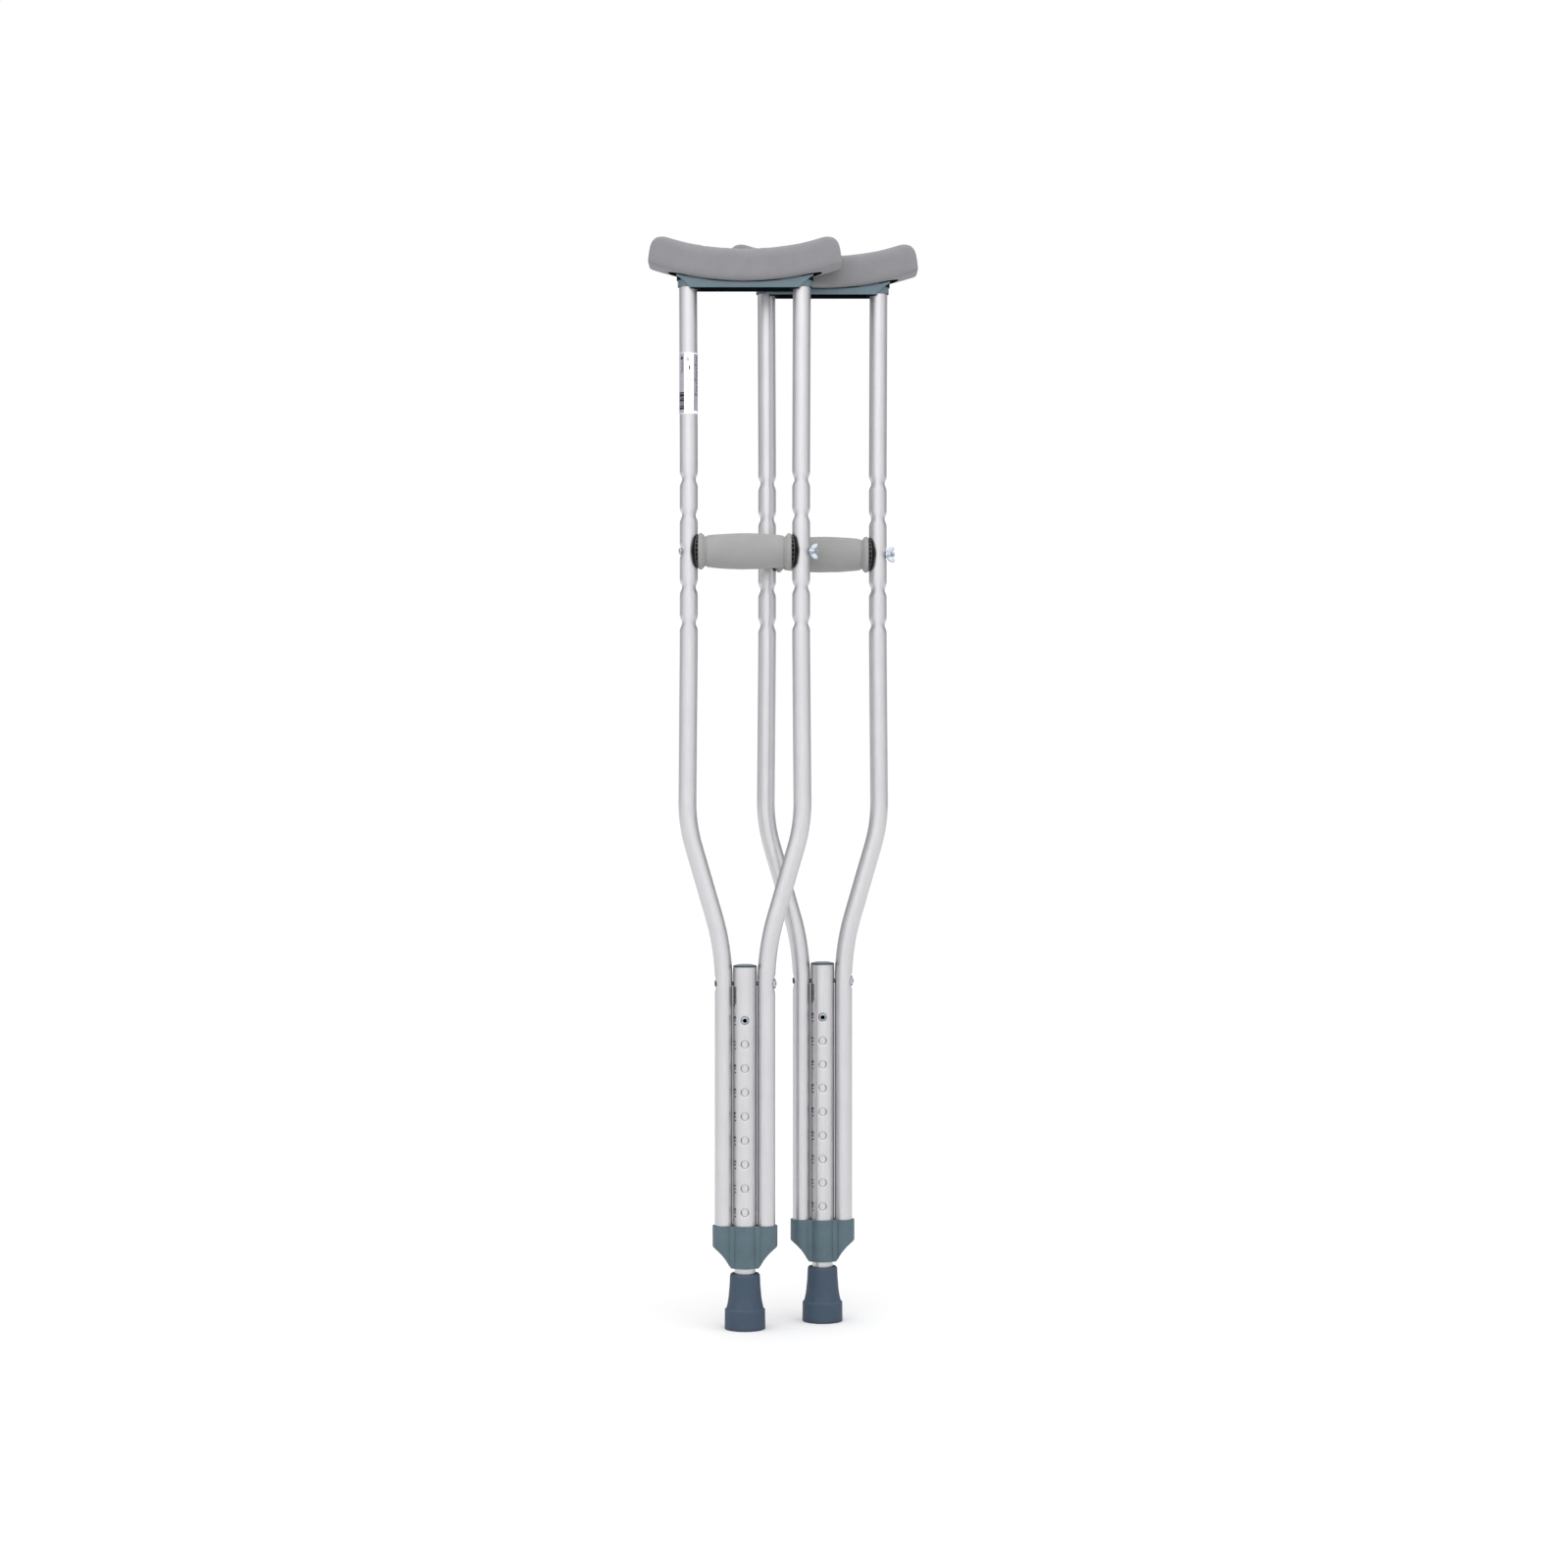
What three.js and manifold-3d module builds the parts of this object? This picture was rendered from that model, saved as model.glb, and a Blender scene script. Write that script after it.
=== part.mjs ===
// A pair of adjustable underarm crutches. Millimetres, +Z up, +X to the right, +Y away from the front.
// Each crutch has two bent aluminium uprights, a centre tube that guides a sliding leg, an underarm
// saddle with a foam pad, and a foam hand grip held by one bolt and a wing nut.
import * as THREE from 'three';
import { mergeVertices } from 'three/addons/utils/BufferGeometryUtils.js';
import Module from 'manifold-3d';

const wasm = await Module();
wasm.setup();

// ---------------------------------------------------------------- driving dimensions
const GAP = 0.3; // clearance between pieces that touch
const PAIR_SPREAD = 82.8; // between the two crutches' axes, along X
const PAIR_DEPTH = 47; // between the two crutches' planes, along Y

const UPRIGHT = { r: 9.525, wall: 1.25, sides: 12, top: 1130, bottom: 86.3 };
const CENTRE = { r: 12.7, wall: 1.3, sides: 16, top: 383.6, bottom: 73.3 };
const LEG = { r: 11.1, wall: 1.3, sides: 16, top: 345, bottom: 14.4 };

const UPRIGHT_X_TOP = 60.4; // upright axis from the crutch axis, under the saddle
const UPRIGHT_X_GRIP = 59.6; // along the five grip stations
const UPRIGHT_X_BEND = 61; // where the upper bend starts
const UPRIGHT_X_LOW = 22.57; // beside the centre tube
const BEND = { start: 557.5, end: 365.8, lean: THREE.MathUtils.degToRad(16.2), upperR: 166 };

const GRIP_Z = 824.7;
const GRIP_PITCH = 38.1;
const GRIP_STATIONS = [-2, -1, 0, 1, 2].map((n) => GRIP_Z + n * GRIP_PITCH);
const DENT = { half: 10.4, floor: 5, depth: 0.18 }; // depth as a share of the tube's radius
const FRAME_BOLT_Z = 366.1;
const FRAME_DENT = 0.25;

const HOLE_TOP_Z = 327.6;
const HOLE_PITCH = 25.4;
const HOLE_COUNT = 9;
const HOLE_R = 4.4;

const BOLT_R = 2.4;
const BOLT_HOLE_R = 3;

const PAD = { half: 102, depth: 44, bottomMid: 1109.1, topMid: 1144.7, peakX: 87, peakZ: 1157.4 };
const PAD_BOTTOM_R = 320; // radius of the pad's curved underside
const PAD_BEVEL = 5;
const SADDLE = { bottom: 1102.3, halfBottom: 56.5, halfTop: 72.8, depth: 28, coreTop: 1136 };
const SADDLE_CORE_R = 12;

const FOAM = { half: 49.7, barrelR: 19.6, neckR: 15.8, flange: 7.6, bore: 11.8 };
const CORE = { r: 11.5, endR: 17, endReach: 4.8 };

const COLLAR = { top: 109.5, straight: 87.4, bottom: 64.8, lobeR: 11.9, centreR: 15.1, half: 34.5 };
const COLLAR_CURVE = { x: 59.5, z: 47.1, r: 47.6 };
const VALLEY_X = 10.8; // the collar's groove beside its centre lobe

const LABEL = { top: 1034.5, bottom: 970, thick: 0.25 };
const TIP = { top: 58.9, floor: 12.3, washer: 1.5 };
const BUTTON = { r: 3.9, flangeR: 4.8, inner: 7.6, flange: 0.7, shoulder: 12.9, dome: 14.7 };
const SPRING = { width: 7, thick: 0.7, length: 46 };

const COLOURS = {
  foamPad: 0x94949a,
  foamGrip: 0xa8a8a8,
  teal: 0x64757f,
  aluminium: 0xd0d0d4,
  rubber: 0x4a5c6c,
  black: 0x161718,
  label: 0xf4f4f4,
  zinc: 0xc4c8cc,
  steel: 0xa6a8aa,
};

// ---------------------------------------------------------------- solids
const toSolid = (geometry) => {
  const bare = geometry.index ? geometry.toNonIndexed() : geometry.clone();
  bare.deleteAttribute('normal');
  bare.deleteAttribute('uv');
  const merged = mergeVertices(bare, 1e-4);
  const vertProperties = new Float32Array(merged.attributes.position.array);
  const triVerts = new Uint32Array(merged.index.array);
  return new wasm.Manifold(new wasm.Mesh({ numProp: 3, vertProperties, triVerts }));
};

const toGeometry = (solid) => {
  const mesh = solid.getMesh();
  const geometry = new THREE.BufferGeometry();
  geometry.setAttribute('position', new THREE.BufferAttribute(mesh.vertProperties, 3));
  geometry.setIndex(new THREE.BufferAttribute(mesh.triVerts, 1));
  geometry.computeVertexNormals();
  return geometry;
};

const cut = (geometry, tools) =>
  toGeometry(tools.reduce((solid, tool) => solid.subtract(toSolid(tool)), toSolid(geometry)));

const join = (geometries) =>
  toGeometry(geometries.map(toSolid).reduce((solid, next) => solid.add(next)));

// a solid of revolution about Z from [radius, z] points, closed on the axis or on itself
const turned = (points, sides) =>
  new THREE.LatheGeometry(points.map(([r, z]) => new THREE.Vector2(r, z)), sides).rotateX(Math.PI / 2);

const rod = (r, from, to, sides) => turned([[0, from], [r, from], [r, to], [0, to]], sides);

const pipe = (r, wall, from, to, sides) =>
  turned([[r - wall, from], [r, from], [r, to], [r - wall, to], [r - wall, from]], sides);

// turns a piece made about Z so that its axis runs along +X, or along -Y
const alongX = (geometry) => geometry.rotateY(Math.PI / 2);
const alongFront = (geometry) => geometry.rotateX(Math.PI / 2);

// the cutter for a bolt's holes, reaching as far to either side
const boltHole = (reach) => alongX(rod(BOLT_HOLE_R, -reach, reach, 6));

// an outline drawn in the X-Z plane, given a depth along Y that is centred on the crutch's plane
const slab = (shape, depth, bevel = 0, curveSegments = 10) => {
  const geometry = new THREE.ExtrudeGeometry(shape, {
    depth: depth - 2 * bevel,
    bevelEnabled: bevel > 0,
    bevelThickness: bevel,
    bevelSize: bevel,
    bevelOffset: -bevel,
    bevelSegments: 1,
    curveSegments,
  });
  return geometry.translate(0, 0, bevel - depth / 2).rotateX(Math.PI / 2);
};

// ---------------------------------------------------------------- uprights
// half the distance between the two uprights' axes at a height
const upperSpan = BEND.upperR * Math.sin(BEND.lean);
const upperDrop = BEND.upperR * (1 - Math.cos(BEND.lean));
const bendWidth = UPRIGHT_X_BEND - UPRIGHT_X_LOW;
const bendHeight = BEND.start - BEND.end;
// the lower arc takes up what the upper arc and a straight run at the same lean leave over
const lowerR = (() => {
  const sin = Math.sin(BEND.lean);
  const cos = Math.cos(BEND.lean);
  const width = bendWidth - upperDrop;
  const height = bendHeight - upperSpan;
  return (height * sin - width * cos) / (1 - cos);
})();

const uprightX = (z) => {
  if (z >= BEND.start) {
    const grips = [GRIP_STATIONS[0] - 20, GRIP_STATIONS[4] + 20];
    if (z > grips[1]) {
      return THREE.MathUtils.mapLinear(z, grips[1], UPRIGHT.top, UPRIGHT_X_GRIP, UPRIGHT_X_TOP);
    }
    if (z < grips[0]) {
      return THREE.MathUtils.mapLinear(z, BEND.start, grips[0], UPRIGHT_X_BEND, UPRIGHT_X_GRIP);
    }
    return UPRIGHT_X_GRIP;
  }
  if (z <= BEND.end) return UPRIGHT_X_LOW;
  const fallen = BEND.start - z;
  if (fallen < upperSpan) {
    return UPRIGHT_X_BEND - BEND.upperR + Math.sqrt(BEND.upperR ** 2 - fallen ** 2);
  }
  const left = z - BEND.end;
  if (left < lowerR * Math.sin(BEND.lean)) {
    return UPRIGHT_X_LOW + lowerR - Math.sqrt(lowerR ** 2 - left ** 2);
  }
  return UPRIGHT_X_BEND - upperDrop - (fallen - upperSpan) * Math.tan(BEND.lean);
};

// the heights where the upright's section changes, from the top down
const uprightHeights = [
  UPRIGHT.top,
  ...GRIP_STATIONS.flatMap((z) => [z + DENT.half, z + DENT.floor, z - DENT.floor, z - DENT.half]),
  BEND.start,
  ...[0.33, 0.67, 1].map((part) => BEND.start - part * upperSpan),
  ...[1, 0.75, 0.5].map((part) => BEND.end + part * lowerR * Math.sin(BEND.lean)),
  ...[DENT.half, DENT.floor, -DENT.floor, -DENT.half].map((rise) => FRAME_BOLT_Z + rise),
  UPRIGHT.bottom,
].sort((a, b) => b - a);

// a curve through the upright's axis whose even steps fall on those heights
class UprightAxis extends THREE.Curve {
  constructor(side) {
    super();
    this.side = side;
  }

  getUtoTmapping(u) {
    return u;
  }

  getPoint(t, target = new THREE.Vector3()) {
    const place = THREE.MathUtils.clamp(t, 0, 1) * (uprightHeights.length - 1);
    const from = Math.min(Math.floor(place), uprightHeights.length - 2);
    const z = THREE.MathUtils.lerp(uprightHeights[from], uprightHeights[from + 1], place - from);
    return target.set(this.side * uprightX(z), 0, z);
  }
}

// how far the tube is pressed in at a height: 1 on a dent's floor, 0 outside it
const dentAt = (z, station) => {
  const away = Math.abs(z - station);
  return 1 - THREE.MathUtils.smoothstep(away, DENT.floor, DENT.half);
};

const upright = (side) => {
  const section = new THREE.Shape().absarc(0, 0, UPRIGHT.r, 0, 2 * Math.PI);
  section.holes.push(new THREE.Path().absarc(0, 0, UPRIGHT.r - UPRIGHT.wall, 0, 2 * Math.PI, true));
  const geometry = new THREE.ExtrudeGeometry(section, {
    steps: uprightHeights.length - 1,
    curveSegments: UPRIGHT.sides / 2,
    extrudePath: new UprightAxis(side),
  });
  const points = geometry.attributes.position;
  for (let n = 0; n < points.count; n += 1) {
    const z = points.getZ(n);
    const axis = side * uprightX(z);
    const outward = side * (points.getX(n) - axis);
    const pinch = Math.max(...GRIP_STATIONS.map((station) => dentAt(z, station))) * DENT.depth;
    const press = outward > 0 ? dentAt(z, FRAME_BOLT_Z) * FRAME_DENT : 0;
    if (pinch + press > 0) points.setX(n, axis + side * outward * (1 - pinch - press));
  }
  const holes = GRIP_STATIONS.map((z) =>
    boltHole(15).translate(side * UPRIGHT_X_GRIP, 0, z),
  );
  holes.push(boltHole(15).translate(side * UPRIGHT_X_LOW, 0, FRAME_BOLT_Z));
  return cut(geometry, holes);
};

// a thin film wrapped most of the way round the left upright
const sizeLabel = () => {
  const inner = UPRIGHT.r + GAP;
  const half = THREE.MathUtils.degToRad(150);
  const front = -Math.PI / 2;
  const wrap = new THREE.Shape();
  wrap.absarc(0, 0, inner + LABEL.thick, front - half, front + half);
  wrap.absarc(0, 0, inner, front + half, front - half, true);
  const film = new THREE.ExtrudeGeometry(wrap, {
    depth: LABEL.top - LABEL.bottom,
    bevelEnabled: false,
    curveSegments: 7,
  });
  const middle = (LABEL.top + LABEL.bottom) / 2;
  return film.translate(-uprightX(middle), 0, LABEL.bottom);
};

// ---------------------------------------------------------------- lower frame
const heightHoles = [...Array(HOLE_COUNT).keys()].map((n) => HOLE_TOP_Z - n * HOLE_PITCH);

const holeThrough = (z) => alongFront(rod(HOLE_R, -20, 20, 8)).translate(0, 0, z);

const centreTube = () => {
  const tube = pipe(CENTRE.r, CENTRE.wall, CENTRE.bottom, CENTRE.top, CENTRE.sides);
  return cut(tube, [boltHole(20).translate(0, 0, FRAME_BOLT_Z), ...heightHoles.map(holeThrough)]);
};

const centreTubeCap = () => {
  const rim = CENTRE.top + GAP;
  const plugR = CENTRE.r - CENTRE.wall - GAP;
  return turned([[0, rim - 10], [plugR, rim - 10], [plugR, rim], [12.2, rim], [12.2, rim + 0.9],
    [8, rim + 2.1], [0, rim + 2.7]], CENTRE.sides);
};

const frameBolt = () => {
  const seat = UPRIGHT_X_LOW + UPRIGHT.r * (1 - FRAME_DENT) + GAP;
  return alongX(turned([[0, -seat - 2.3], [2.4, -seat - 2.1], [4.2, -seat - 1], [4.2, -seat],
    [BOLT_R, -seat], [BOLT_R, seat + 5], [0, seat + 5]], 10)).translate(0, 0, FRAME_BOLT_Z);
};

const frameNut = () => {
  const seat = UPRIGHT_X_LOW + UPRIGHT.r * (1 - FRAME_DENT) + GAP;
  const nut = cut(rod(5.5, seat, seat + 3.8, 6), [rod(BOLT_R + 0.4, 0, 60, 8)]);
  return alongX(nut).translate(0, 0, FRAME_BOLT_Z);
};

const collar = () => {
  // plan: a round lobe on each upright and a deeper one on the centre tube, with a groove between
  const lobeFoot = Math.asin(0.95);
  const valleyY = Math.sqrt(COLLAR.centreR ** 2 - VALLEY_X ** 2);
  const centreTurn = Math.atan2(valleyY, VALLEY_X);
  const plan = new THREE.Shape();
  plan.absarc(UPRIGHT_X_LOW, 0, COLLAR.lobeR, -Math.PI + lobeFoot, Math.PI - lobeFoot);
  plan.absarc(0, 0, COLLAR.centreR, centreTurn, Math.PI - centreTurn);
  plan.absarc(-UPRIGHT_X_LOW, 0, COLLAR.lobeR, lobeFoot, 2 * Math.PI - lobeFoot);
  plan.absarc(0, 0, COLLAR.centreR, Math.PI + centreTurn, 2 * Math.PI - centreTurn);
  const body = new THREE.ExtrudeGeometry(plan, {
    depth: COLLAR.top - COLLAR.bottom,
    bevelEnabled: false,
    curveSegments: 5,
  }).translate(0, 0, COLLAR.bottom);
  // front view: the sides curve in below the uprights
  const flanks = [-1, 1].map((side) => {
    const edge = Math.atan2(COLLAR.straight - COLLAR_CURVE.z, COLLAR.half - COLLAR_CURVE.x);
    const foot = Math.atan2(COLLAR.bottom - 1 - COLLAR_CURVE.z, 15 - COLLAR_CURVE.x);
    const curve = [...Array(7).keys()].map((n) => {
      const turn = THREE.MathUtils.lerp(edge, foot, n / 6);
      return new THREE.Vector2(
        side * (COLLAR_CURVE.x + COLLAR_CURVE.r * Math.cos(turn)),
        COLLAR_CURVE.z + COLLAR_CURVE.r * Math.sin(turn),
      );
    });
    const outside = [
      new THREE.Vector2(curve.at(-1).x, COLLAR.bottom - 5),
      new THREE.Vector2(side * 50, COLLAR.bottom - 5),
      new THREE.Vector2(side * 50, COLLAR.straight),
    ];
    return slab(new THREE.Shape([...curve, ...outside]), 60);
  });
  const sockets = [-1, 1].map((side) =>
    rod(UPRIGHT.r + GAP + 0.15, UPRIGHT.bottom - GAP, 130, 14).translate(side * UPRIGHT_X_LOW, 0, 0),
  );
  const centreSocket = rod(CENTRE.r + GAP, CENTRE.bottom - GAP, 130, CENTRE.sides);
  const legBore = rod(LEG.r + GAP, 40, 130, LEG.sides);
  return cut(body, [...flanks, ...sockets, centreSocket, legBore]);
};

// ---------------------------------------------------------------- leg
const legTube = () => {
  const tube = pipe(LEG.r, LEG.wall, LEG.bottom, LEG.top, LEG.sides);
  return cut(tube, [holeThrough(HOLE_TOP_Z)]);
};

const snapButton = (side) => {
  const { r, flangeR, inner, flange, shoulder, dome } = BUTTON;
  const button = turned([[0, inner], [flangeR, inner], [flangeR, inner + flange],
    [r, inner + flange], [r, shoulder], [r * 0.8, dome - 0.7], [r * 0.4, dome - 0.1], [0, dome]], 8);
  const placed = side < 0 ? alongFront(button) : alongFront(button).rotateZ(Math.PI);
  return placed.translate(0, 0, HOLE_TOP_Z);
};

// a strip bent double, with its two arms pressed against the inside of the buttons
const snapSpring = () => {
  const { width, thick, length } = SPRING;
  const outer = BUTTON.inner - GAP;
  const top = HOLE_TOP_Z + 5;
  const knee = HOLE_TOP_Z - 8;
  const foot = HOLE_TOP_Z - length;
  const footR = 2.6;
  const half = [[outer, top], [outer, knee], [footR, foot]];
  const outside = half.map(([y, z]) => new THREE.Vector2(y, z));
  const inside = half.map(([y, z]) => new THREE.Vector2(y - thick, z));
  const mirror = (points) => points.map((p) => new THREE.Vector2(-p.x, p.y)).reverse();
  const outline = new THREE.Shape([
    ...outside,
    new THREE.Vector2(0, foot - footR),
    ...mirror(outside),
    ...mirror(inside).reverse(),
    new THREE.Vector2(0, foot - footR + thick),
    ...inside.slice().reverse(),
  ]);
  return slab(outline, width).rotateZ(Math.PI / 2);
};

const rubberTip = () => {
  const bore = LEG.r + GAP;
  return turned([[0, 0], [21, 0], [21.8, 1.2], [21.5, 19.9], [20.1, 22.2], [18.3, 30], [17, 38],
    [16.5, 47], [16.35, 57], [15.2, TIP.top], [bore + 0.8, TIP.top], [bore, 57.8], [bore, TIP.floor],
    [0, TIP.floor]], 16);
};

const tipWasher = () => rod(LEG.r, TIP.floor + GAP, TIP.floor + GAP + TIP.washer, LEG.sides);

// ---------------------------------------------------------------- hand grip
const gripFoam = () => {
  const { half, barrelR, neckR, flange, bore } = FOAM;
  const barrel = [0.9, 0.6, 0.25].map((part) => {
    const x = part * (half - flange);
    return [barrelR - (barrelR - neckR - 0.6) * part ** 2.2, x];
  });
  const end = [[bore, half], [barrelR - 1.6, half], [barrelR, half - 1.8], [barrelR, half - 4],
    [neckR, half - flange]];
  const right = [...end, ...barrel];
  const left = right.slice().reverse().map(([r, x]) => [r, -x]);
  return alongX(turned([...right, ...left, right[0]].reverse(), 14)).translate(0, 0, GRIP_Z);
};

const gripCore = () => {
  const start = FOAM.half + GAP;
  const dome = [0, 0.4, 0.7, 0.9, 1].map((part) => [
    CORE.endR * Math.sqrt(1 - part ** 2),
    start + part * CORE.endReach,
  ]);
  const right = [...dome.slice().reverse(), [CORE.r, start]];
  const left = right.slice().reverse().map(([r, x]) => [r, -x]);
  const body = alongX(turned([...right, ...left].reverse(), 16));
  const seats = [-1, 1].map((side) =>
    rod(UPRIGHT.r + 0.6, -30, 30, 14).translate(side * UPRIGHT_X_GRIP, 0, 0),
  );
  const bore = alongX(rod(BOLT_R + 0.4, -70, 70, 8));
  return cut(body, [...seats, bore]).translate(0, 0, GRIP_Z);
};

const gripSeat = UPRIGHT_X_GRIP + UPRIGHT.r * (1 - DENT.depth) + GAP;
const GRIP_BOLT_END = 77.8;

const gripBolt = () =>
  alongX(turned([[0, -gripSeat - 2.6], [2.2, -gripSeat - 2.3], [4.2, -gripSeat - 1],
    [4.2, -gripSeat], [BOLT_R, -gripSeat], [BOLT_R, GRIP_BOLT_END], [0, GRIP_BOLT_END]], 10))
    .translate(0, 0, GRIP_Z);

const wingNut = () => {
  const hub = alongX(turned([[0, gripSeat], [4.4, gripSeat], [3.9, gripSeat + 5.5],
    [0, gripSeat + 5.5]], 12));
  const wings = [-1, 1].map((side) => {
    const outline = new THREE.Shape([[1.2, 1], [2, 3], [4.6, 6.8], [7.4, 9.2], [9, 8.8], [9.2, 7.2],
      [7.6, 4.6], [5.2, 2.6], [4.6, 1]].map(([x, r]) => new THREE.Vector2(gripSeat + x, side * r)));
    return slab(outline, 1.8);
  });
  const bore = alongX(rod(BOLT_R + 0.4, 50, 90, 8));
  const turn = THREE.MathUtils.degToRad(-28);
  return cut(join([hub, ...wings]), [bore]).rotateX(turn).translate(0, 0, GRIP_Z);
};

// ---------------------------------------------------------------- underarm support
const padBottomZ = (x) => PAD.bottomMid + PAD_BOTTOM_R - Math.sqrt(PAD_BOTTOM_R ** 2 - x ** 2);

// points along the pad's curved underside, from one x to another
const undersideRun = (from, to, count) =>
  [...Array(count).keys()].map((n) => {
    const x = THREE.MathUtils.lerp(from, to, n / (count - 1));
    return new THREE.Vector2(x, padBottomZ(x));
  });

const underarmPad = () => {
  const { half, depth, topMid, peakX, peakZ } = PAD;
  const inset = half - 4;
  const outline = new THREE.Shape(undersideRun(-inset, inset, 9));
  outline.quadraticCurveTo(half, padBottomZ(half), half, padBottomZ(half) + 5);
  outline.lineTo(half - 1.4, peakZ - 14);
  outline.quadraticCurveTo(half - 4, peakZ, peakX, peakZ);
  outline.quadraticCurveTo(peakX * 0.5, topMid, 0, topMid);
  outline.quadraticCurveTo(-peakX * 0.5, topMid, -peakX, peakZ);
  outline.quadraticCurveTo(4 - half, peakZ, 1.4 - half, peakZ - 14);
  outline.lineTo(-half, padBottomZ(half) + 5);
  outline.quadraticCurveTo(-half, padBottomZ(half), -inset, padBottomZ(inset));
  const cushion = slab(outline, depth, PAD_BEVEL, 4);
  return cut(cushion, [coreBlock(GAP, 1090)]);
};

// the saddle's core inside the pad: a bar with round ends that hold the uprights' sockets
const coreBlock = (margin, bottom) => {
  const r = SADDLE_CORE_R + margin;
  const plan = new THREE.Shape();
  plan.absarc(UPRIGHT_X_TOP, 0, r, -Math.PI / 2, Math.PI / 2);
  plan.absarc(-UPRIGHT_X_TOP, 0, r, Math.PI / 2, 1.5 * Math.PI);
  return new THREE.ExtrudeGeometry(plan, {
    depth: SADDLE.coreTop + margin - bottom,
    bevelEnabled: false,
    curveSegments: 4,
  }).translate(0, 0, bottom);
};

const underarmSaddle = () => {
  const { bottom, halfBottom, halfTop, depth } = SADDLE;
  const under = undersideRun(halfTop, -halfTop, 9).map((p) => new THREE.Vector2(p.x, p.y - GAP));
  const plate = new THREE.Shape([
    new THREE.Vector2(-halfBottom, bottom),
    new THREE.Vector2(halfBottom, bottom),
    ...under,
  ]);
  const socketBoss = [-1, 1].map((side) =>
    rod(SADDLE_CORE_R, bottom + 3.5, bottom + 12, 14).translate(side * UPRIGHT_X_TOP, 0, 0),
  );
  const body = join([slab(plate, depth), coreBlock(0, bottom + 6), ...socketBoss]);
  const sockets = [-1, 1].map((side) =>
    rod(UPRIGHT.r + GAP + 0.15, 1080, UPRIGHT.top + GAP, 14).translate(side * UPRIGHT_X_TOP, 0, 0),
  );
  const pocket = new THREE.BoxGeometry(86, 18, 40).translate(0, 0, SADDLE.bottom + 5);
  return cut(body, [...sockets, pocket]);
};

// ---------------------------------------------------------------- assembly
const finish = (color, roughness, metalness = 0) =>
  new THREE.MeshStandardMaterial({ color, roughness, metalness });

const parts = {
  underarm_pad: [underarmPad, () => finish(COLOURS.foamPad, 0.95)],
  underarm_saddle: [underarmSaddle, () => finish(COLOURS.teal, 0.45)],
  left_upright: [() => upright(-1), () => finish(COLOURS.aluminium, 0.35, 1)],
  right_upright: [() => upright(1), () => finish(COLOURS.aluminium, 0.35, 1)],
  centre_tube: [centreTube, () => finish(COLOURS.aluminium, 0.4, 1)],
  centre_tube_cap: [centreTubeCap, () => finish(COLOURS.teal, 0.5)],
  frame_bolt: [frameBolt, () => finish(COLOURS.steel, 0.35, 1)],
  frame_nut: [frameNut, () => finish(COLOURS.zinc, 0.35, 1)],
  lower_collar: [collar, () => finish(COLOURS.teal, 0.45)],
  leg_tube: [legTube, () => finish(COLOURS.aluminium, 0.4, 1)],
  snap_button_front: [() => snapButton(-1), () => finish(COLOURS.zinc, 0.3, 1)],
  snap_button_back: [() => snapButton(1), () => finish(COLOURS.zinc, 0.3, 1)],
  snap_spring: [snapSpring, () => finish(COLOURS.steel, 0.4, 1)],
  rubber_tip: [rubberTip, () => finish(COLOURS.rubber, 0.7)],
  tip_washer: [tipWasher, () => finish(COLOURS.steel, 0.4, 1)],
  grip_foam: [gripFoam, () => finish(COLOURS.foamGrip, 0.95)],
  grip_core: [gripCore, () => finish(COLOURS.black, 0.5)],
  grip_bolt: [gripBolt, () => finish(COLOURS.zinc, 0.3, 1)],
  wing_nut: [wingNut, () => finish(COLOURS.zinc, 0.3, 1)],
};

const named = (name, shape, material) => {
  const mesh = new THREE.Mesh(shape, material);
  mesh.name = name;
  return mesh;
};

const crutch = (name, x, y) => {
  const whole = new THREE.Group();
  whole.position.set(x, y, 0);
  for (const [part, [shape, material]] of Object.entries(parts)) {
    whole.add(named(`${name}_${part}`, shape(), material()));
  }
  return whole;
};

const nearCrutch = crutch('near', -PAIR_SPREAD / 2, -PAIR_DEPTH / 2);
nearCrutch.add(named('near_size_label', sizeLabel(), finish(COLOURS.label, 0.6)));

const group = new THREE.Group();
group.add(nearCrutch);
group.add(crutch('far', PAIR_SPREAD / 2, PAIR_DEPTH / 2));

export default group;
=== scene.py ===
import math

import bmesh
import bpy
from mathutils import Matrix, Vector, noise


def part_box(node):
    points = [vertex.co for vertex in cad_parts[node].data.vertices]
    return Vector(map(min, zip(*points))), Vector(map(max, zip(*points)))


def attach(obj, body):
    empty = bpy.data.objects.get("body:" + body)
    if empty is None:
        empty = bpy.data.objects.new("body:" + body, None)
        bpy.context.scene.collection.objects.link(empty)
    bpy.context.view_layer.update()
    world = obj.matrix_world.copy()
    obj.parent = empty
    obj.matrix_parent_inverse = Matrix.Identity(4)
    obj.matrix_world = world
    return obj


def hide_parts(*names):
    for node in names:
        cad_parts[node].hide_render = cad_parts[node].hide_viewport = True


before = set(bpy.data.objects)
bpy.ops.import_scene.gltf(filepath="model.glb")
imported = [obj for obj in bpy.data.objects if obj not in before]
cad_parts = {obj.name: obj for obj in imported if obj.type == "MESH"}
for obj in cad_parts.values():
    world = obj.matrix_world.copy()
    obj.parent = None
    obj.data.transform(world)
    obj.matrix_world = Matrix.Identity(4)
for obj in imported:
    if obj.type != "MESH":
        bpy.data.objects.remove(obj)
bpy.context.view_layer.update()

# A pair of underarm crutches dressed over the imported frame. Every shape is drawn once in
# millimetres about a crutch's own axis (x across, y away from the front, z up from the floor)
# and is then placed on the near crutch and on the far one.
MM = 0.001


def standing_axis(crutch):
    low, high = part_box(f"{crutch}_leg_tube")
    return Vector(((low.x + high.x) / 2, (low.y + high.y) / 2, 0))


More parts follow.
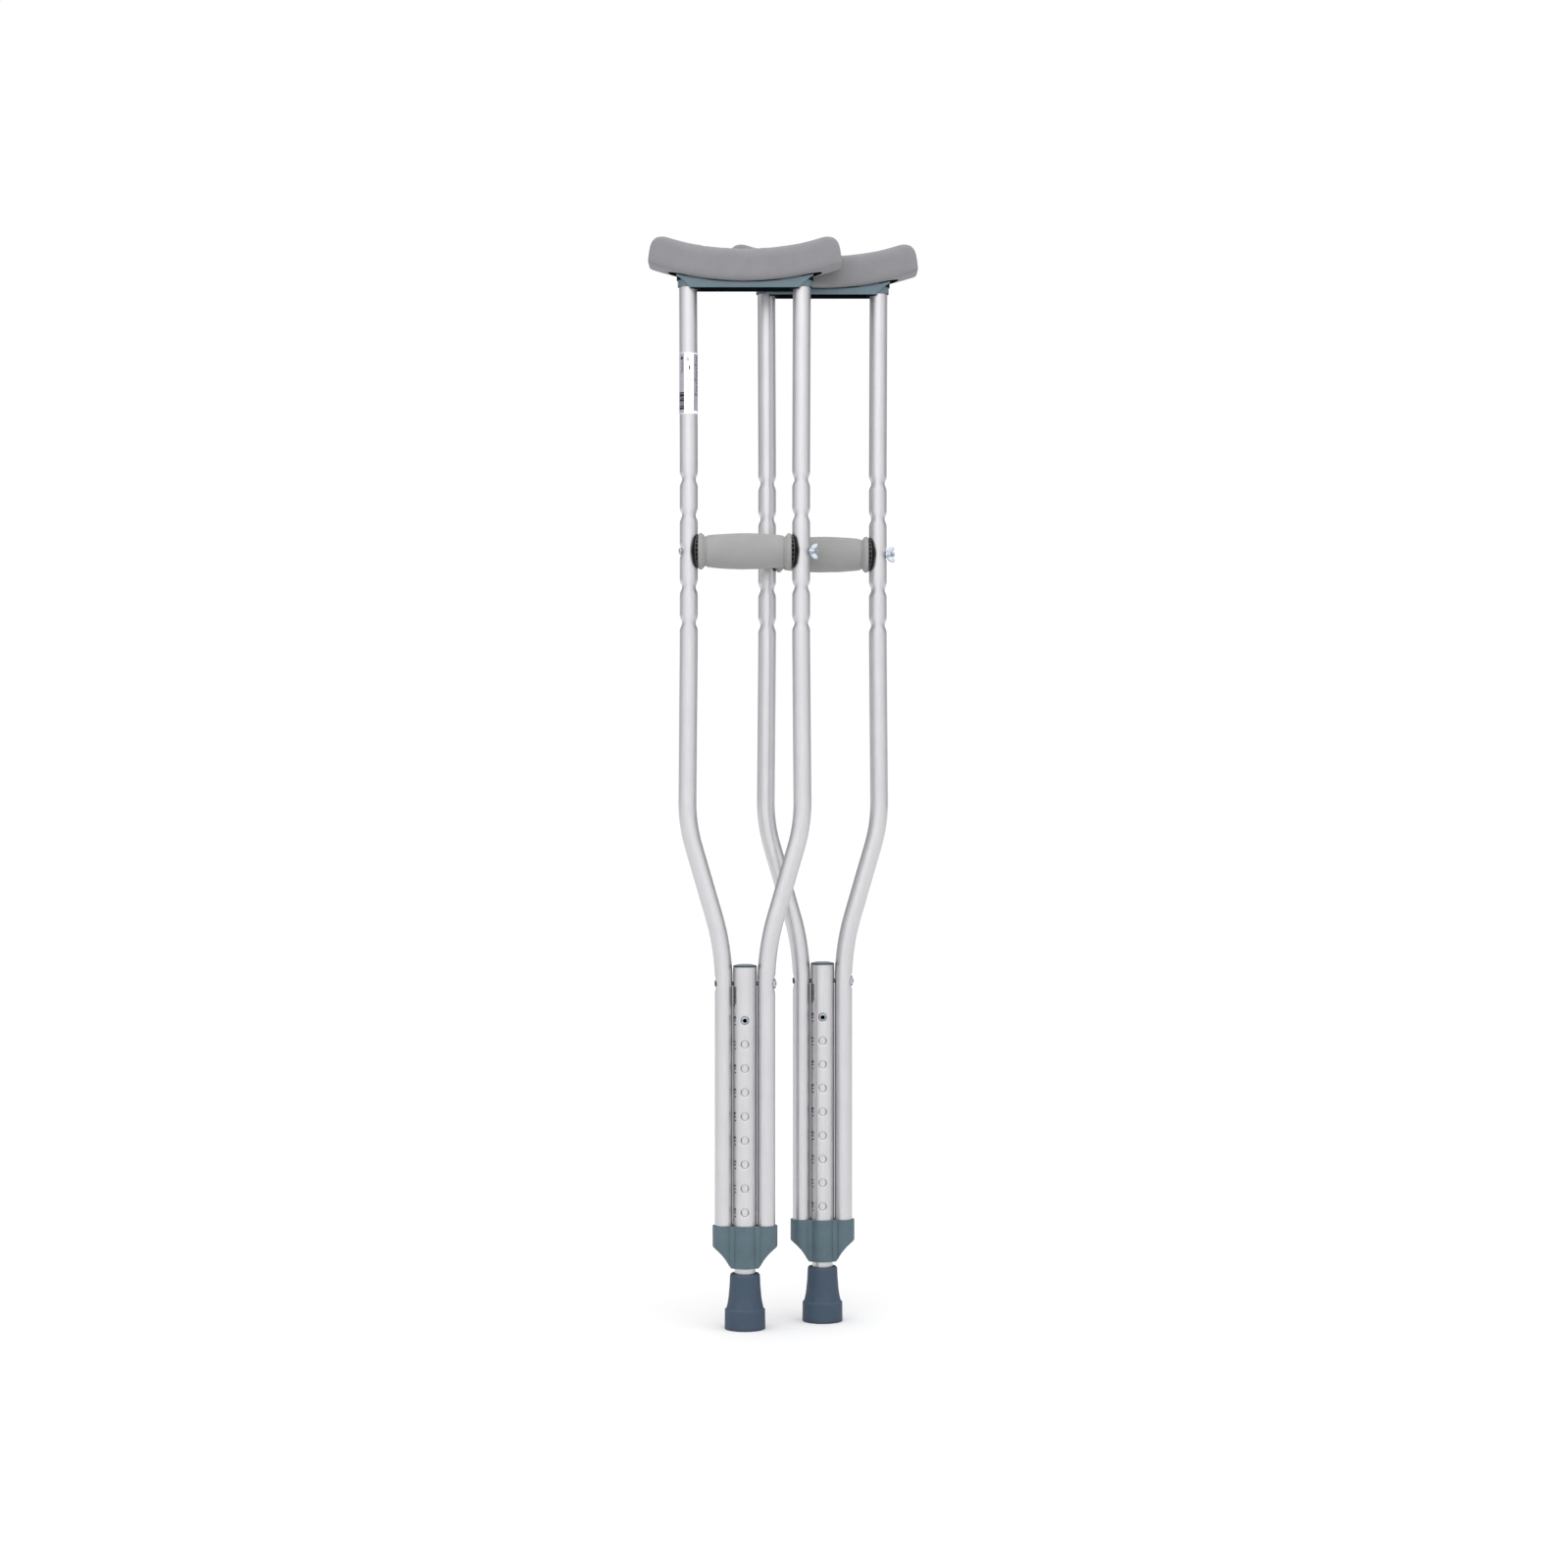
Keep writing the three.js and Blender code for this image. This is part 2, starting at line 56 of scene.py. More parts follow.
AXES = {crutch: standing_axis(crutch) for crutch in ("near", "far")}


def extent(node):
    """The lowest and highest corners of a near crutch's node, in millimetres about its axis."""
    low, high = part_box(f"near_{node}")
    return (low - AXES["near"]) / MM, (high - AXES["near"]) / MM


# --- sizes, in millimetres
PAD_LOW, PAD_HIGH = extent("underarm_pad")
SADDLE_LOW, SADDLE_HIGH = extent("underarm_saddle")
UPRIGHT_LOW, UPRIGHT_HIGH = extent("left_upright")
CENTRE_LOW, CENTRE_HIGH = extent("centre_tube")
CAP_LOW, CAP_HIGH = extent("centre_tube_cap")
COLLAR_LOW, COLLAR_HIGH = extent("lower_collar")
LEG_LOW, LEG_HIGH = extent("leg_tube")
TIP_TOP = extent("rubber_tip")[1].z
FOAM_LOW, FOAM_HIGH = extent("grip_foam")
BUTTON_LOW, BUTTON_HIGH = extent("snap_button_front")
FRAME_BOLT_LOW, FRAME_BOLT_HIGH = extent("frame_bolt")
GRIP_BOLT_LOW, GRIP_BOLT_HIGH = extent("grip_bolt")
WING_SEAT = extent("wing_nut")[0].x
SPRING_LOW, SPRING_HIGH = extent("snap_spring")

UPRIGHT_R = (UPRIGHT_HIGH.y - UPRIGHT_LOW.y) / 2
UPRIGHT_WALL = 1.25
CENTRE_R = CENTRE_HIGH.x
LEG_R = LEG_HIGH.x
TUBE_WALL = 1.3

UPRIGHT_X_TOP = 60.4
UPRIGHT_X_GRIP = 59.6
UPRIGHT_X_BEND = 61.0
UPRIGHT_X_LOW = 22.57
BEND_START = 557.5
BEND_END = 365.8
BEND_LEAN = math.radians(16.2)
UPPER_BEND_R = 166.0

GRIP_Z = (FOAM_LOW.z + FOAM_HIGH.z) / 2
GRIP_PITCH = 38.1
STATIONS = [GRIP_Z + n * GRIP_PITCH for n in range(-2, 3)]
DENT_HALF = 8.0
DENT_FLOOR = 0.6
DENT_LEFT = 2.0
DENT_RIGHT = 1.7
FRAME_BOLT_Z = (FRAME_BOLT_LOW.z + FRAME_BOLT_HIGH.z) / 2
FRAME_DENT = {-1: 2.4, 1: 3.4}
FRAME_CRUSH_HALF = 9.5
SOCKET_R = UPRIGHT_R + 0.35
BOLT_R = 2.4
BOLT_HOLE_R = 2.9

HOLE_TOP_Z = (BUTTON_LOW.z + BUTTON_HIGH.z) / 2
HOLE_PITCH = 25.4
HOLE_COUNT = 9
HOLE_R = 4.25
HOLE_ZS = [HOLE_TOP_Z - n * HOLE_PITCH for n in range(HOLE_COUNT)]


# --- drawing helpers
def smoothstep(value, low, high):
    t = min(max((value - low) / (high - low), 0), 1)
    return t * t * (3 - 2 * t)


def lerp(a, b, t):
    return a + (b - a) * t


def spread(low, high, count):
    """Evenly spaced numbers from low to high, both included."""
    return [lerp(low, high, n / (count - 1)) for n in range(count)]


def rounded(corners, steps=5, closed=False):
    """An outline through (a, b, radius) corners, with an arc of that radius at each corner."""
    points = []
    count = len(corners)
    for n, (a, b, radius) in enumerate(corners):
        at_end = not closed and n in (0, count - 1)
        if radius == 0 or at_end:
            points.append((a, b))
            continue
        corner = Vector((a, b))
        back = Vector(corners[n - 1][:2]) - corner
        ahead = Vector(corners[(n + 1) % count][:2]) - corner
        half = back.angle(ahead) / 2
        reach = min(radius / math.tan(half), 0.49 * back.length, 0.49 * ahead.length)
        back.normalize()
        ahead.normalize()
        centre = corner + (back + ahead).normalized() * (reach / math.cos(half))
        first = corner + back * reach - centre
        last = corner + ahead * reach - centre
        sweep = math.atan2(first.x * last.y - first.y * last.x, first.dot(last))
        for t in spread(0, 1, steps + 1):
            turn = sweep * t
            points.append((
                centre.x + first.x * math.cos(turn) - first.y * math.sin(turn),
                centre.y + first.x * math.sin(turn) + first.y * math.cos(turn),
            ))
    return points


def bridge(low, high, skipped=()):
    """A square between each two neighbours of one closed ring and the same two of the next."""
    pairs = list(zip(low, high))
    return [(a, c, d, b) for n, ((a, b), (c, d)) in enumerate(zip(pairs, pairs[1:] + pairs[:1]))
            if n not in skipped]


def turned(profile, sides, warp=None):
    """A solid of revolution about Z from (radius, z) points that start and end on the axis,
    or close on themselves. warp(radius, z, turn) gives the radius at that turn."""
    verts, rings = [], []
    for radius, z in profile:
        ring = []
        for n in range(1 if radius < 1e-6 else sides):
            turn = 2 * math.pi * n / sides
            r = warp(radius, z, turn) if warp and radius > 1e-6 else radius
            ring.append(len(verts))
            verts.append((r * math.cos(turn), r * math.sin(turn), z))
        rings.append(ring)
    pairs = list(zip(rings, rings[1:]))
    if len(rings[0]) > 1:
        pairs.append((rings[-1], rings[0]))
    faces = []
    for low, high in pairs:
        if len(low) == len(high):
            faces += bridge(low, high)
        elif len(low) == 1:
            faces += [(low[0], b, a) for a, b in zip(high, high[1:] + high[:1])]
        else:
            faces += [(a, b, high[0]) for a, b in zip(low, low[1:] + low[:1])]
    return verts, faces


def moved(shape, place):
    """The same faces with every point sent through place(x, y, z)."""
    verts, faces = shape
    return [place(*v) for v in verts], faces


def along_x(shape, z=0):
    return moved(shape, lambda a, b, c: (c, a, b + z))


def along_front(shape, z=0):
    return moved(shape, lambda a, b, c: (a, -c, b + z))


def shifted(shape, x=0, y=0, z=0):
    return moved(shape, lambda a, b, c: (a + x, b + y, c + z))


def on_both_sides(shape, x):
    """The shape twice, moved to either side."""
    return [shifted(shape, -x), shifted(shape, x)]


def joined(*shapes):
    verts, faces = [], []
    for some_verts, some_faces in shapes:
        start = len(verts)
        verts += some_verts
        faces += [tuple(n + start for n in face) for face in some_faces]
    return verts, faces


def cylinder(radius, low, high, sides):
    return turned([(0, low), (radius, low), (radius, high), (0, high)], sides)


def arc(cx, cy, r, start, end, steps):
    return [(cx + r * math.cos(t), cy + r * math.sin(t)) for t in spread(start, end, steps + 1)]


def bezier(a, b, c, steps):
    """A quadratic curve's points after its first."""
    return [tuple(lerp(lerp(a[i], b[i], t), lerp(b[i], c[i], t), t) for i in (0, 1))
            for t in spread(0, 1, steps + 1)[1:]]


def headings(path, closed=True):
    """The direction of travel at each point of a path, from its neighbours."""
    before = path[-1:] + path[:-1] if closed else path[:1] + path[:-1]
    after = path[1:] + path[:1] if closed else path[1:] + path[-1:]
    return [(Vector(b) - Vector(a)).normalized() for a, b in zip(before, after)]


def loop_tube(path, radius, sides):
    """A closed round tube along a loop of points in the x-z plane."""
    verts, faces = [], []
    count = len(path)
    depth = Vector((0, 1, 0))
    for n, (point, along) in enumerate(zip(path, headings(path))):
        across = along.cross(depth).normalized()
        for k in range(sides):
            turn = 2 * math.pi * k / sides
            out = across * radius * math.cos(turn) + depth * radius * math.sin(turn)
            verts.append(tuple(Vector(point) + out))
        ahead = (n + 1) % count * sides
        faces += bridge(range(n * sides, n * sides + sides), range(ahead, ahead + sides))
    return verts, faces


def prism(outline, low, high):
    """An outline of (a, b) points drawn upright at two levels of the third axis."""
    count = len(outline)
    verts = [(a, b, low) for a, b in outline] + [(a, b, high) for a, b in outline]
    faces = [tuple(range(count)), tuple(range(2 * count - 1, count - 1, -1))]
    return verts, faces + bridge(range(count), range(count, 2 * count))


def on_edge(shape):
    """Turns a prism drawn on x and z so that it stands upright, with its depth along y."""
    return moved(shape, lambda a, b, c: (a, c, b))


def box(x, y, z):
    return prism([(x[0], y[0]), (x[1], y[0]), (x[1], y[1]), (x[0], y[1])], *z)


# --- meshes
def to_mesh(shape):
    verts, faces = shape
    mesh = bpy.data.meshes.new("shape")
    mesh.from_pydata([(x * MM, y * MM, z * MM) for x, y, z in verts], [], faces)
    edit = bmesh.new()
    edit.from_mesh(mesh)
    bmesh.ops.recalc_face_normals(edit, faces=edit.faces)
    edit.to_mesh(mesh)
    edit.free()
    return mesh


def from_mesh(mesh):
    """A finished mesh as plain points and faces in millimetres again."""
    return [tuple(v.co / MM) for v in mesh.vertices], [tuple(p.vertices) for p in mesh.polygons]


def with_object(data, name="work"):
    obj = bpy.data.objects.new(name, data)
    bpy.context.scene.collection.objects.link(obj)
    return obj


def applied(obj):
    """The object's mesh with its modifiers applied; the working object goes."""
    graph = bpy.context.evaluated_depsgraph_get()
    mesh = bpy.data.meshes.new_from_object(obj.evaluated_get(graph))
    bpy.data.objects.remove(obj)
    return mesh


def modified(mesh, *steps):
    """The mesh after a stack of modifiers, each given as its kind and its settings."""
    obj = with_object(mesh)
    for kind, settings in steps:
        step = obj.modifiers.new(kind.title(), kind)
        for setting, value in settings.items():
            setattr(step, setting, value)
    return applied(obj)


def smoothing(times):
    return "SMOOTH", {"iterations": times, "factor": 0.5}


def combined(mesh, tools, operation="DIFFERENCE"):
    """A mesh cut by, joined to, or kept within, each of the tool shapes."""
    helpers = [with_object(to_mesh(tool)) for tool in tools]
    steps = [("BOOLEAN", {"operation": operation, "solver": "EXACT", "object": helper})
             for helper in helpers]
    result = modified(mesh, *steps)
    for helper in helpers:
        bpy.data.objects.remove(helper)
    return result


def softened(mesh, width, segments=2, angle=30):
    """Rounds every edge that is sharper than the angle."""
    return modified(mesh, ("BEVEL", {
        "width": width * MM, "segments": segments, "limit_method": "ANGLE",
        "angle_limit": math.radians(angle), "miter_outer": "MITER_ARC", "use_clamp_overlap": True,
    }))


def remeshed(mesh, voxel):
    """One skin around overlapping solids, with its edges melted together."""
    return modified(mesh, ("REMESH", {"mode": "VOXEL", "voxel_size": voxel * MM}), smoothing(2))


def place(shape, name, body, slot, material, stands_for=(), crutches=("near", "far"), sharp=35,
          fill=None, inside=None):
    """Puts a copy of the shape or mesh on each crutch, riding on that crutch's body. inside is a
    second material and a test on a face's centre and normal for the faces that take it; each
    second material is a darker copy that paints shade into holes, recesses, rims and undersides."""
    mesh = to_mesh(shape) if isinstance(shape, tuple) else shape
    painted_shade_faces = [inside is not None and inside[1](face.center / MM, face.normal)
              for face in mesh.polygons]
    for crutch in crutches:
        copy = mesh.copy()
        copy.transform(Matrix.Translation(AXES[crutch]))
        copy.materials.clear()
        copy.materials.append(material)
        if inside:
            copy.materials.append(inside[0])
            copy.polygons.foreach_set("material_index", painted_shade_faces)
        copy.polygons.foreach_set("use_smooth", [True] * len(copy.polygons))
        copy.set_sharp_from_angle(angle=math.radians(sharp))
        obj = with_object(copy, f"{crutch}_{name}")
        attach(obj, f"{crutch}_{body}")
        if stands_for:
            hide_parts(*[f"{crutch}_{node}" for node in stands_for])


# --- materials
def srgb(red, green, blue):
    """A colour written as 0-255 screen values, made linear."""
    def linear(value):
        value /= 255
        return value / 12.92 if value <= 0.04045 else ((value + 0.055) / 1.055) ** 2.4
    return (linear(red), linear(green), linear(blue), 1)


class Nodes:
    """A node tree that is built up node by node."""

    def __init__(self, tree):
        self.tree = tree

    def feed(self, node, inputs):
        """Gives each named input its value, or a link from another node's output."""
        for socket, value in inputs.items():
            if isinstance(value, bpy.types.NodeSocket):
                self.tree.links.new(value, node.inputs[socket])
            else:
                node.inputs[socket].default_value = value

    def add(self, kind, output, inputs=None, **settings):
        """The named output of a new shader node."""
        node = self.tree.nodes.new(f"ShaderNode{kind}")
        for setting, value in settings.items():
            setattr(node, setting, value)
        self.feed(node, inputs or {})
        return node.outputs[output]


class Finish(Nodes):
    """A procedural material on the object's own coordinates."""

    def __init__(self, name, sockets=None):
        self.material = bpy.data.materials.new(name)
        self.material.use_nodes = True
        super().__init__(self.material.node_tree)
        self.shader = self.tree.nodes["Principled BSDF"]
        self.feed(self.shader, sockets or {})
        self.place = self.add("TexCoord", "Object")
        self.relief = None

    def noise(self, scale, detail, rough=0.55, source=None):
        return self.add("TexNoise", "Fac", {
            "Vector": source or self.place, "Scale": scale, "Detail": detail, "Roughness": rough})

    def grain(self, scales, detail):
        """Noise that is drawn out by its own scale along each axis."""
        drawn_out = self.add("Mapping", "Vector", {"Vector": self.place, "Scale": scales})
        return self.noise(1, detail, source=drawn_out)

    def cells(self, scale):
        return self.add("TexVoronoi", "Distance", {"Vector": self.place, "Scale": scale})

    def threads(self, scale, direction):
        return self.add("TexWave", "Fac", {
            "Vector": self.place, "Scale": scale, "Distortion": 2.2, "Detail": 2,
            "Detail Scale": 2.5}, bands_direction=direction)

    def height(self):
        return self.add("SeparateXYZ", "Z", {"Vector": self.place})

    def ranged(self, source, low, high, at=(0.3, 0.7)):
        return self.add("MapRange", "Result", {
            "Value": source, "From Min": at[0], "From Max": at[1], "To Min": low, "To Max": high})

    def mixed(self, factor, first, second):
        return self.add("Mix", "Result", {"Factor": factor, "A": first, "B": second},
                        data_type="RGBA")

    def between(self, source, first, second):
        """A colour that wanders from the first to the second with the noise."""
        return self.mixed(self.ranged(source, 0, 1), first, second)

    def surface(self, colour, roughness):
        self.feed(self.shader, {"Base Color": colour, "Roughness": roughness})

    def bump(self, source, depth, strength=1.0):
        """Adds one layer of relief, its full depth given in millimetres."""
        inputs = {"Strength": strength, "Distance": depth * MM, "Height": source}
        if self.relief is not None:
            inputs["Normal"] = self.relief
        self.relief = self.add("Bump", "Normal", inputs)
        self.feed(self.shader, {"Normal": self.relief})


def mottled(name, first, second, cloud, roughness, relief, depth, sockets=None):
    """A plain finish. cloud and relief are each the scale and the detail of a noise."""
    finish = Finish(name, sockets)
    patch = finish.noise(*cloud)
    finish.surface(finish.between(patch, first, second), finish.ranged(patch, *roughness))
    finish.bump(finish.noise(*relief), depth)
    return finish.material


def drawn_aluminium():
    finish = Finish("satin_aluminium", {"Metallic": 1})
    grain = finish.grain((2600, 2600, 34), 4)
    cloud = finish.noise(38, 4)
    tone = finish.between(grain, srgb(197, 196, 198), srgb(209, 208, 210))
    tone = finish.mixed(finish.ranged(cloud, 0, 0.4), tone, srgb(193, 192, 195))
    finish.surface(tone, finish.ranged(grain, 0.34, 0.42))
    finish.bump(grain, 0.004)
    finish.bump(finish.noise(5200, 2), 0.003)
    return finish.material


def moulded_teal(name, first, second, fleck, shine=0.5):
    finish = Finish(name, {"Specular IOR Level": shine})
    cloud = finish.noise(55, 5, 0.6)
    speck = finish.noise(1400, 2)
    tone = finish.between(cloud, first, second)
    tone = finish.mixed(finish.ranged(speck, 0, 0.35), tone, fleck)
    finish.surface(tone, finish.ranged(cloud, 0.36, 0.5))
    finish.bump(speck, 0.05)
    finish.bump(cloud, 0.12)
    return finish.material


def slate_rubber():
    """Blue-grey rubber with a dusty fleck, darker over the lowest 4 mm."""
    finish = Finish("slate_rubber")
    cloud = finish.noise(70, 5, 0.65)
    speck = finish.noise(1900, 3)
    tone = finish.between(cloud, srgb(36, 55, 73), srgb(47, 66, 83))
    tone = finish.mixed(finish.ranged(speck, 0, 0.3), tone, srgb(57, 73, 89))
    sole = finish.ranged(finish.height(), 1, 0, at=(0, 4 * MM))
    tone = finish.mixed(sole, tone, srgb(42, 55, 68))
    finish.surface(tone, finish.ranged(cloud, 0.52, 0.72))
    finish.bump(speck, 0.06)
    return finish.material


def foam(name, dark, light, fleck, grain_scale):
    finish = Finish(name, {"Sheen Weight": 0.12, "Sheen Roughness": 0.5})
    grain = finish.noise(grain_scale, 4, 0.7)
    tone = finish.between(finish.noise(42, 4, 0.6), dark, light)
    tone = finish.mixed(finish.ranged(grain, 0.7, 0, at=(0.34, 0.52)), tone, fleck)
    finish.surface(tone, finish.ranged(grain, 0.88, 1))
    finish.bump(finish.cells(grain_scale * 0.8), 0.16, strength=0.7)
    finish.bump(grain, 0.12, strength=0.8)
    return finish


def pad_cover():
    colours = srgb(125, 124, 127), srgb(131, 131, 134), srgb(117, 117, 120)
    finish = foam("pad_foam_cover", *colours, 1700)
    finish.bump(finish.threads(340, "X"), 0.05, strength=0.6)
    finish.bump(finish.threads(380, "Z"), 0.05, strength=0.6)
    return finish.material


def grip_cover():
    colours = srgb(140, 140, 139), srgb(147, 147, 146), srgb(132, 132, 131)
    return foam("grip_foam_skin", *colours, 2100).material


def rolled_steel(name, first, second):
    finish = Finish(name, {"Metallic": 1})
    grain = finish.grain((1500, 1500, 160), 3)
    finish.surface(finish.between(grain, first, second), finish.ranged(grain, 0.28, 0.45))
    finish.bump(grain, 0.01)
    return finish.material


def moulded_black(name, first, second, shine=0.5):
    sockets = {"Specular IOR Level": shine}
    return mottled(name, first, second, (160, 4), (0.34, 0.5), (2200, 2), 0.04, sockets)


def label_film(name, first, second):
    sockets = {"Coat Weight": 0.25, "Coat Roughness": 0.2}
    return mottled(name, first, second, (120, 3), (0.3, 0.45), (900, 2), 0.008, sockets)


def printing_ink(name, first, second):
    sockets = {"Specular IOR Level": 0.2}
    return mottled(name, first, second, (1300, 3), (0.4, 0.6), (1300, 3), 0.005, sockets)


ALUMINIUM = drawn_aluminium()
TEAL = moulded_teal("moulded_teal_plastic", srgb(88, 107, 116), srgb(99, 118, 127), srgb(78, 96, 106))
# a darker copy of the same teal, painting shade on the collar, which sits low where less light reaches
COLLAR_TEAL_SHADED = moulded_teal("collar_teal_painted_shade", srgb(66, 86, 95), srgb(77, 97, 105), srgb(59, 78, 87))
# a dark copy of the teal that paints the shadow on the cap's outer rim
TEAL_RIM_SHADE = moulded_teal("teal_plastic_rim_painted_shade", srgb(42, 50, 55), srgb(52, 61, 66), srgb(38, 46, 50))
TEAL_DEEP = moulded_teal("teal_plastic_in_shade", srgb(17, 22, 26), srgb(25, 31, 36),
                         srgb(13, 17, 20), 0)
RUBBER = slate_rubber()
PAD_COVER = pad_cover()
GRIP_COVER = grip_cover()
BLACK = moulded_black("moulded_black_plastic", srgb(30, 30, 32), srgb(46, 46, 49))
BLACK_DEEP = moulded_black("black_in_shade", srgb(8, 8, 9), srgb(17, 17, 18), 0)
ZINC = mottled("bright_zinc", srgb(146, 157, 169), srgb(186, 192, 197), (240, 4), (0.2, 0.36),
               (1500, 3), 0.02, {"Metallic": 1})
STEEL = rolled_steel("rolled_steel", srgb(150, 152, 156), srgb(186, 188, 190))
# a dark copy of the rolled steel that paints shade on the frame bolt and in the height holes
STEEL_PAINTED_SHADE = rolled_steel("steel_painted_shade", srgb(62, 64, 68), srgb(92, 94, 98))
WHITE_FILM = label_film("white_label_film", srgb(240, 240, 243), srgb(250, 250, 251))
# the label's grey side strips: the film's own tint with painted shade where the label turns round the
# tube
GREY_FILM_AND_SHADE = label_film("grey_film_tint_and_painted_shade", srgb(142, 141, 152), srgb(155, 154, 164))
INK = printing_ink("printing_ink", srgb(14, 14, 18), srgb(32, 32, 38))
FAINT_INK = printing_ink("faint_printing_ink", srgb(103, 102, 116), srgb(120, 119, 132))
PALE_INK = printing_ink("pale_printing_ink", srgb(178, 178, 176), srgb(190, 190, 187))


# --- tubes
UPPER_SPAN = UPPER_BEND_R * math.sin(BEND_LEAN)
UPPER_DROP = UPPER_BEND_R * (1 - math.cos(BEND_LEAN))
RUN_WIDTH = UPRIGHT_X_BEND - UPRIGHT_X_LOW - UPPER_DROP
RUN_HEIGHT = BEND_START - BEND_END - UPPER_SPAN
# the lower arc takes up what the upper arc and a straight run at the same lean leave over
RUN_OVER = RUN_HEIGHT * math.sin(BEND_LEAN) - RUN_WIDTH * math.cos(BEND_LEAN)
LOWER_BEND_R = RUN_OVER / (1 - math.cos(BEND_LEAN))
GRIP_RUN = (STATIONS[0] - 20, STATIONS[-1] + 20)


def upright_x(z):
    """Half the distance between a crutch's two upright axes at a height."""
    if z >= GRIP_RUN[1]:
        return lerp(UPRIGHT_X_GRIP, UPRIGHT_X_TOP, (z - GRIP_RUN[1]) / (UPRIGHT_HIGH.z - GRIP_RUN[1]))
    if z >= GRIP_RUN[0]:
        return UPRIGHT_X_GRIP
    if z >= BEND_START:
        return lerp(UPRIGHT_X_BEND, UPRIGHT_X_GRIP, (z - BEND_START) / (GRIP_RUN[0] - BEND_START))
    if z <= BEND_END:
        return UPRIGHT_X_LOW
    fallen = BEND_START - z
    if fallen < UPPER_SPAN:
        return UPRIGHT_X_BEND - UPPER_BEND_R + math.sqrt(UPPER_BEND_R ** 2 - fallen ** 2)
    left = z - BEND_END
    if left < LOWER_BEND_R * math.sin(BEND_LEAN):
        return UPRIGHT_X_LOW + LOWER_BEND_R - math.sqrt(LOWER_BEND_R ** 2 - left ** 2)
    return UPRIGHT_X_BEND - UPPER_DROP - (fallen - UPPER_SPAN) * math.tan(BEND_LEAN)


PATCH = 8  # squares along each side of the patch of wall that a hole is cut in
GAP_COLUMNS = 3  # columns of squares between one patch and the next, round the tube
SIDE_COLUMNS = PATCH + GAP_COLUMNS
RIM_EASE = 0.7


class TubeWall:
    """A tube's wall as one closed mesh. Round the tube, four patches face +X, +Y, -X and -Y,
    and a row of patches can be pierced by round holes whose rims are eased."""

    def __init__(self, outer, wall, patch_half, bend=None):
        self.radii = (outer, outer - wall)
        self.patch_half = patch_half
        self.bend = bend or (lambda x, y, z: (x, y, z))
        self.verts = []
        self.faces = []

    def angles(self, radius):
        """The way round to each column of points: along a patch, then over the gap after it."""
        edge = math.asin(self.patch_half / radius)
        steps = [math.asin(s / radius) for s in spread(-self.patch_half, self.patch_half, PATCH + 1)]
        steps += spread(edge, math.pi / 2 - edge, GAP_COLUMNS + 1)[1:-1]
        return [side * math.pi / 2 + step for side in range(4) for step in steps]

    def point(self, radius, angle, z):
        self.verts.append(self.bend(radius * math.cos(angle), radius * math.sin(angle), z))
        return len(self.verts) - 1

    def row(self, z):
        return [[self.point(r, angle, z) for angle in self.angles(r)] for r in self.radii]

    def join(self, low, high, skin, skipped=()):
        squares = bridge(low, high, skipped)
        self.faces += [square[::-1] for square in squares] if skin else squares

    def pierce(self, rows, heights, side, radius):
        """One patch with a hole: rings step in from the patch's edge to the hole's rim."""
        start = side * SIDE_COLUMNS
        half_height = (heights[-1] - heights[0]) / 2
        run = range(PATCH)
        path = [(0, n) for n in run] + [(n, PATCH) for n in run]
        path += [(PATCH, PATCH - n) for n in run] + [(PATCH - n, 0) for n in run]
        mouths = []
        for skin, tube_r in enumerate(self.radii):
            rim = radius + (RIM_EASE if skin == 0 else 0)
            rings = [[rows[r][skin][start + c] for r, c in path]]
            steps = [(t, 0, rim) for t in (0.62, 0.3, 0)]
            if skin == 0:
                steps += [(0, RIM_EASE * (1 - math.cos(t)), rim - RIM_EASE * math.sin(t))
                          for t in spread(0, math.pi / 2, 5)[1:]]
            for keep, depth, ring_r in steps:
                ring = []
                for n, (r, c) in enumerate(path):
                    turn = -0.75 * math.pi + 2 * math.pi * n / len(path)
                    edge_s = lerp(-self.patch_half, self.patch_half, c / PATCH)
                    edge_z = lerp(-half_height, half_height, r / PATCH)
                    s = lerp(ring_r * math.cos(turn), edge_s, keep)
                    z = lerp(ring_r * math.sin(turn), edge_z, keep)
                    angle = side * math.pi / 2 + math.asin(s / (tube_r - depth))
                    ring.append(self.point(tube_r - depth, angle, heights[0] + half_height + z))
                rings.append(ring)
            for wide, narrow in zip(rings, rings[1:]):
                self.join(wide, narrow, skin)
            mouths.append(rings[-1])
        self.join(*mouths, 0)

    def build(self, bands):
        """bands are (low z, high z, steps, {side: hole radius}) from the bottom up."""
        rows = []
        for low, high, steps, holes in bands:
            heights = spread(low, high, steps + 1)
            if not rows:
                rows.append(self.row(low))
            first = len(rows) - 1
            rows += [self.row(z) for z in heights[1:]]
            for side, radius in holes.items():
                self.pierce(rows[first:], heights, side, radius)
            skipped = {side * SIDE_COLUMNS + c for side in holes for c in range(PATCH)}
            for lower, upper in zip(rows[first:], rows[first + 1:]):
                for skin in (0, 1):
                    self.join(lower[skin], upper[skin], skin, skipped)
        self.join(*rows[0], 0)
        self.join(*rows[-1], 0)
        return self.verts, self.faces


RIGHT, BACK, LEFT, FRONT = range(4)


def upright_bend(side):
    """Presses the dents into a straight tube, then bends it along the upright's axis."""
    def bend(x, y, z):
        radius = math.hypot(x, y)
        for station in STATIONS:
            press = 1 - smoothstep(abs(z - station), DENT_FLOOR, DENT_HALF)
            depth = DENT_RIGHT if x > 0 else DENT_LEFT
            x *= 1 - press * depth / UPRIGHT_R
        # the frame bolt's ends crush the outer side flat, which leaves a crease round the flat
        crush = max(0, 1 - abs(z - FRAME_BOLT_Z) / FRAME_CRUSH_HALF)
        flat = radius - FRAME_DENT[side] * crush
        if x * side > flat:
            x = side * flat
        slope = side * (upright_x(z + 0.5) - upright_x(z - 0.5))
        length = math.hypot(1, slope)
        return (side * upright_x(z) + x / length, y, z - x * slope / length)
    return bend


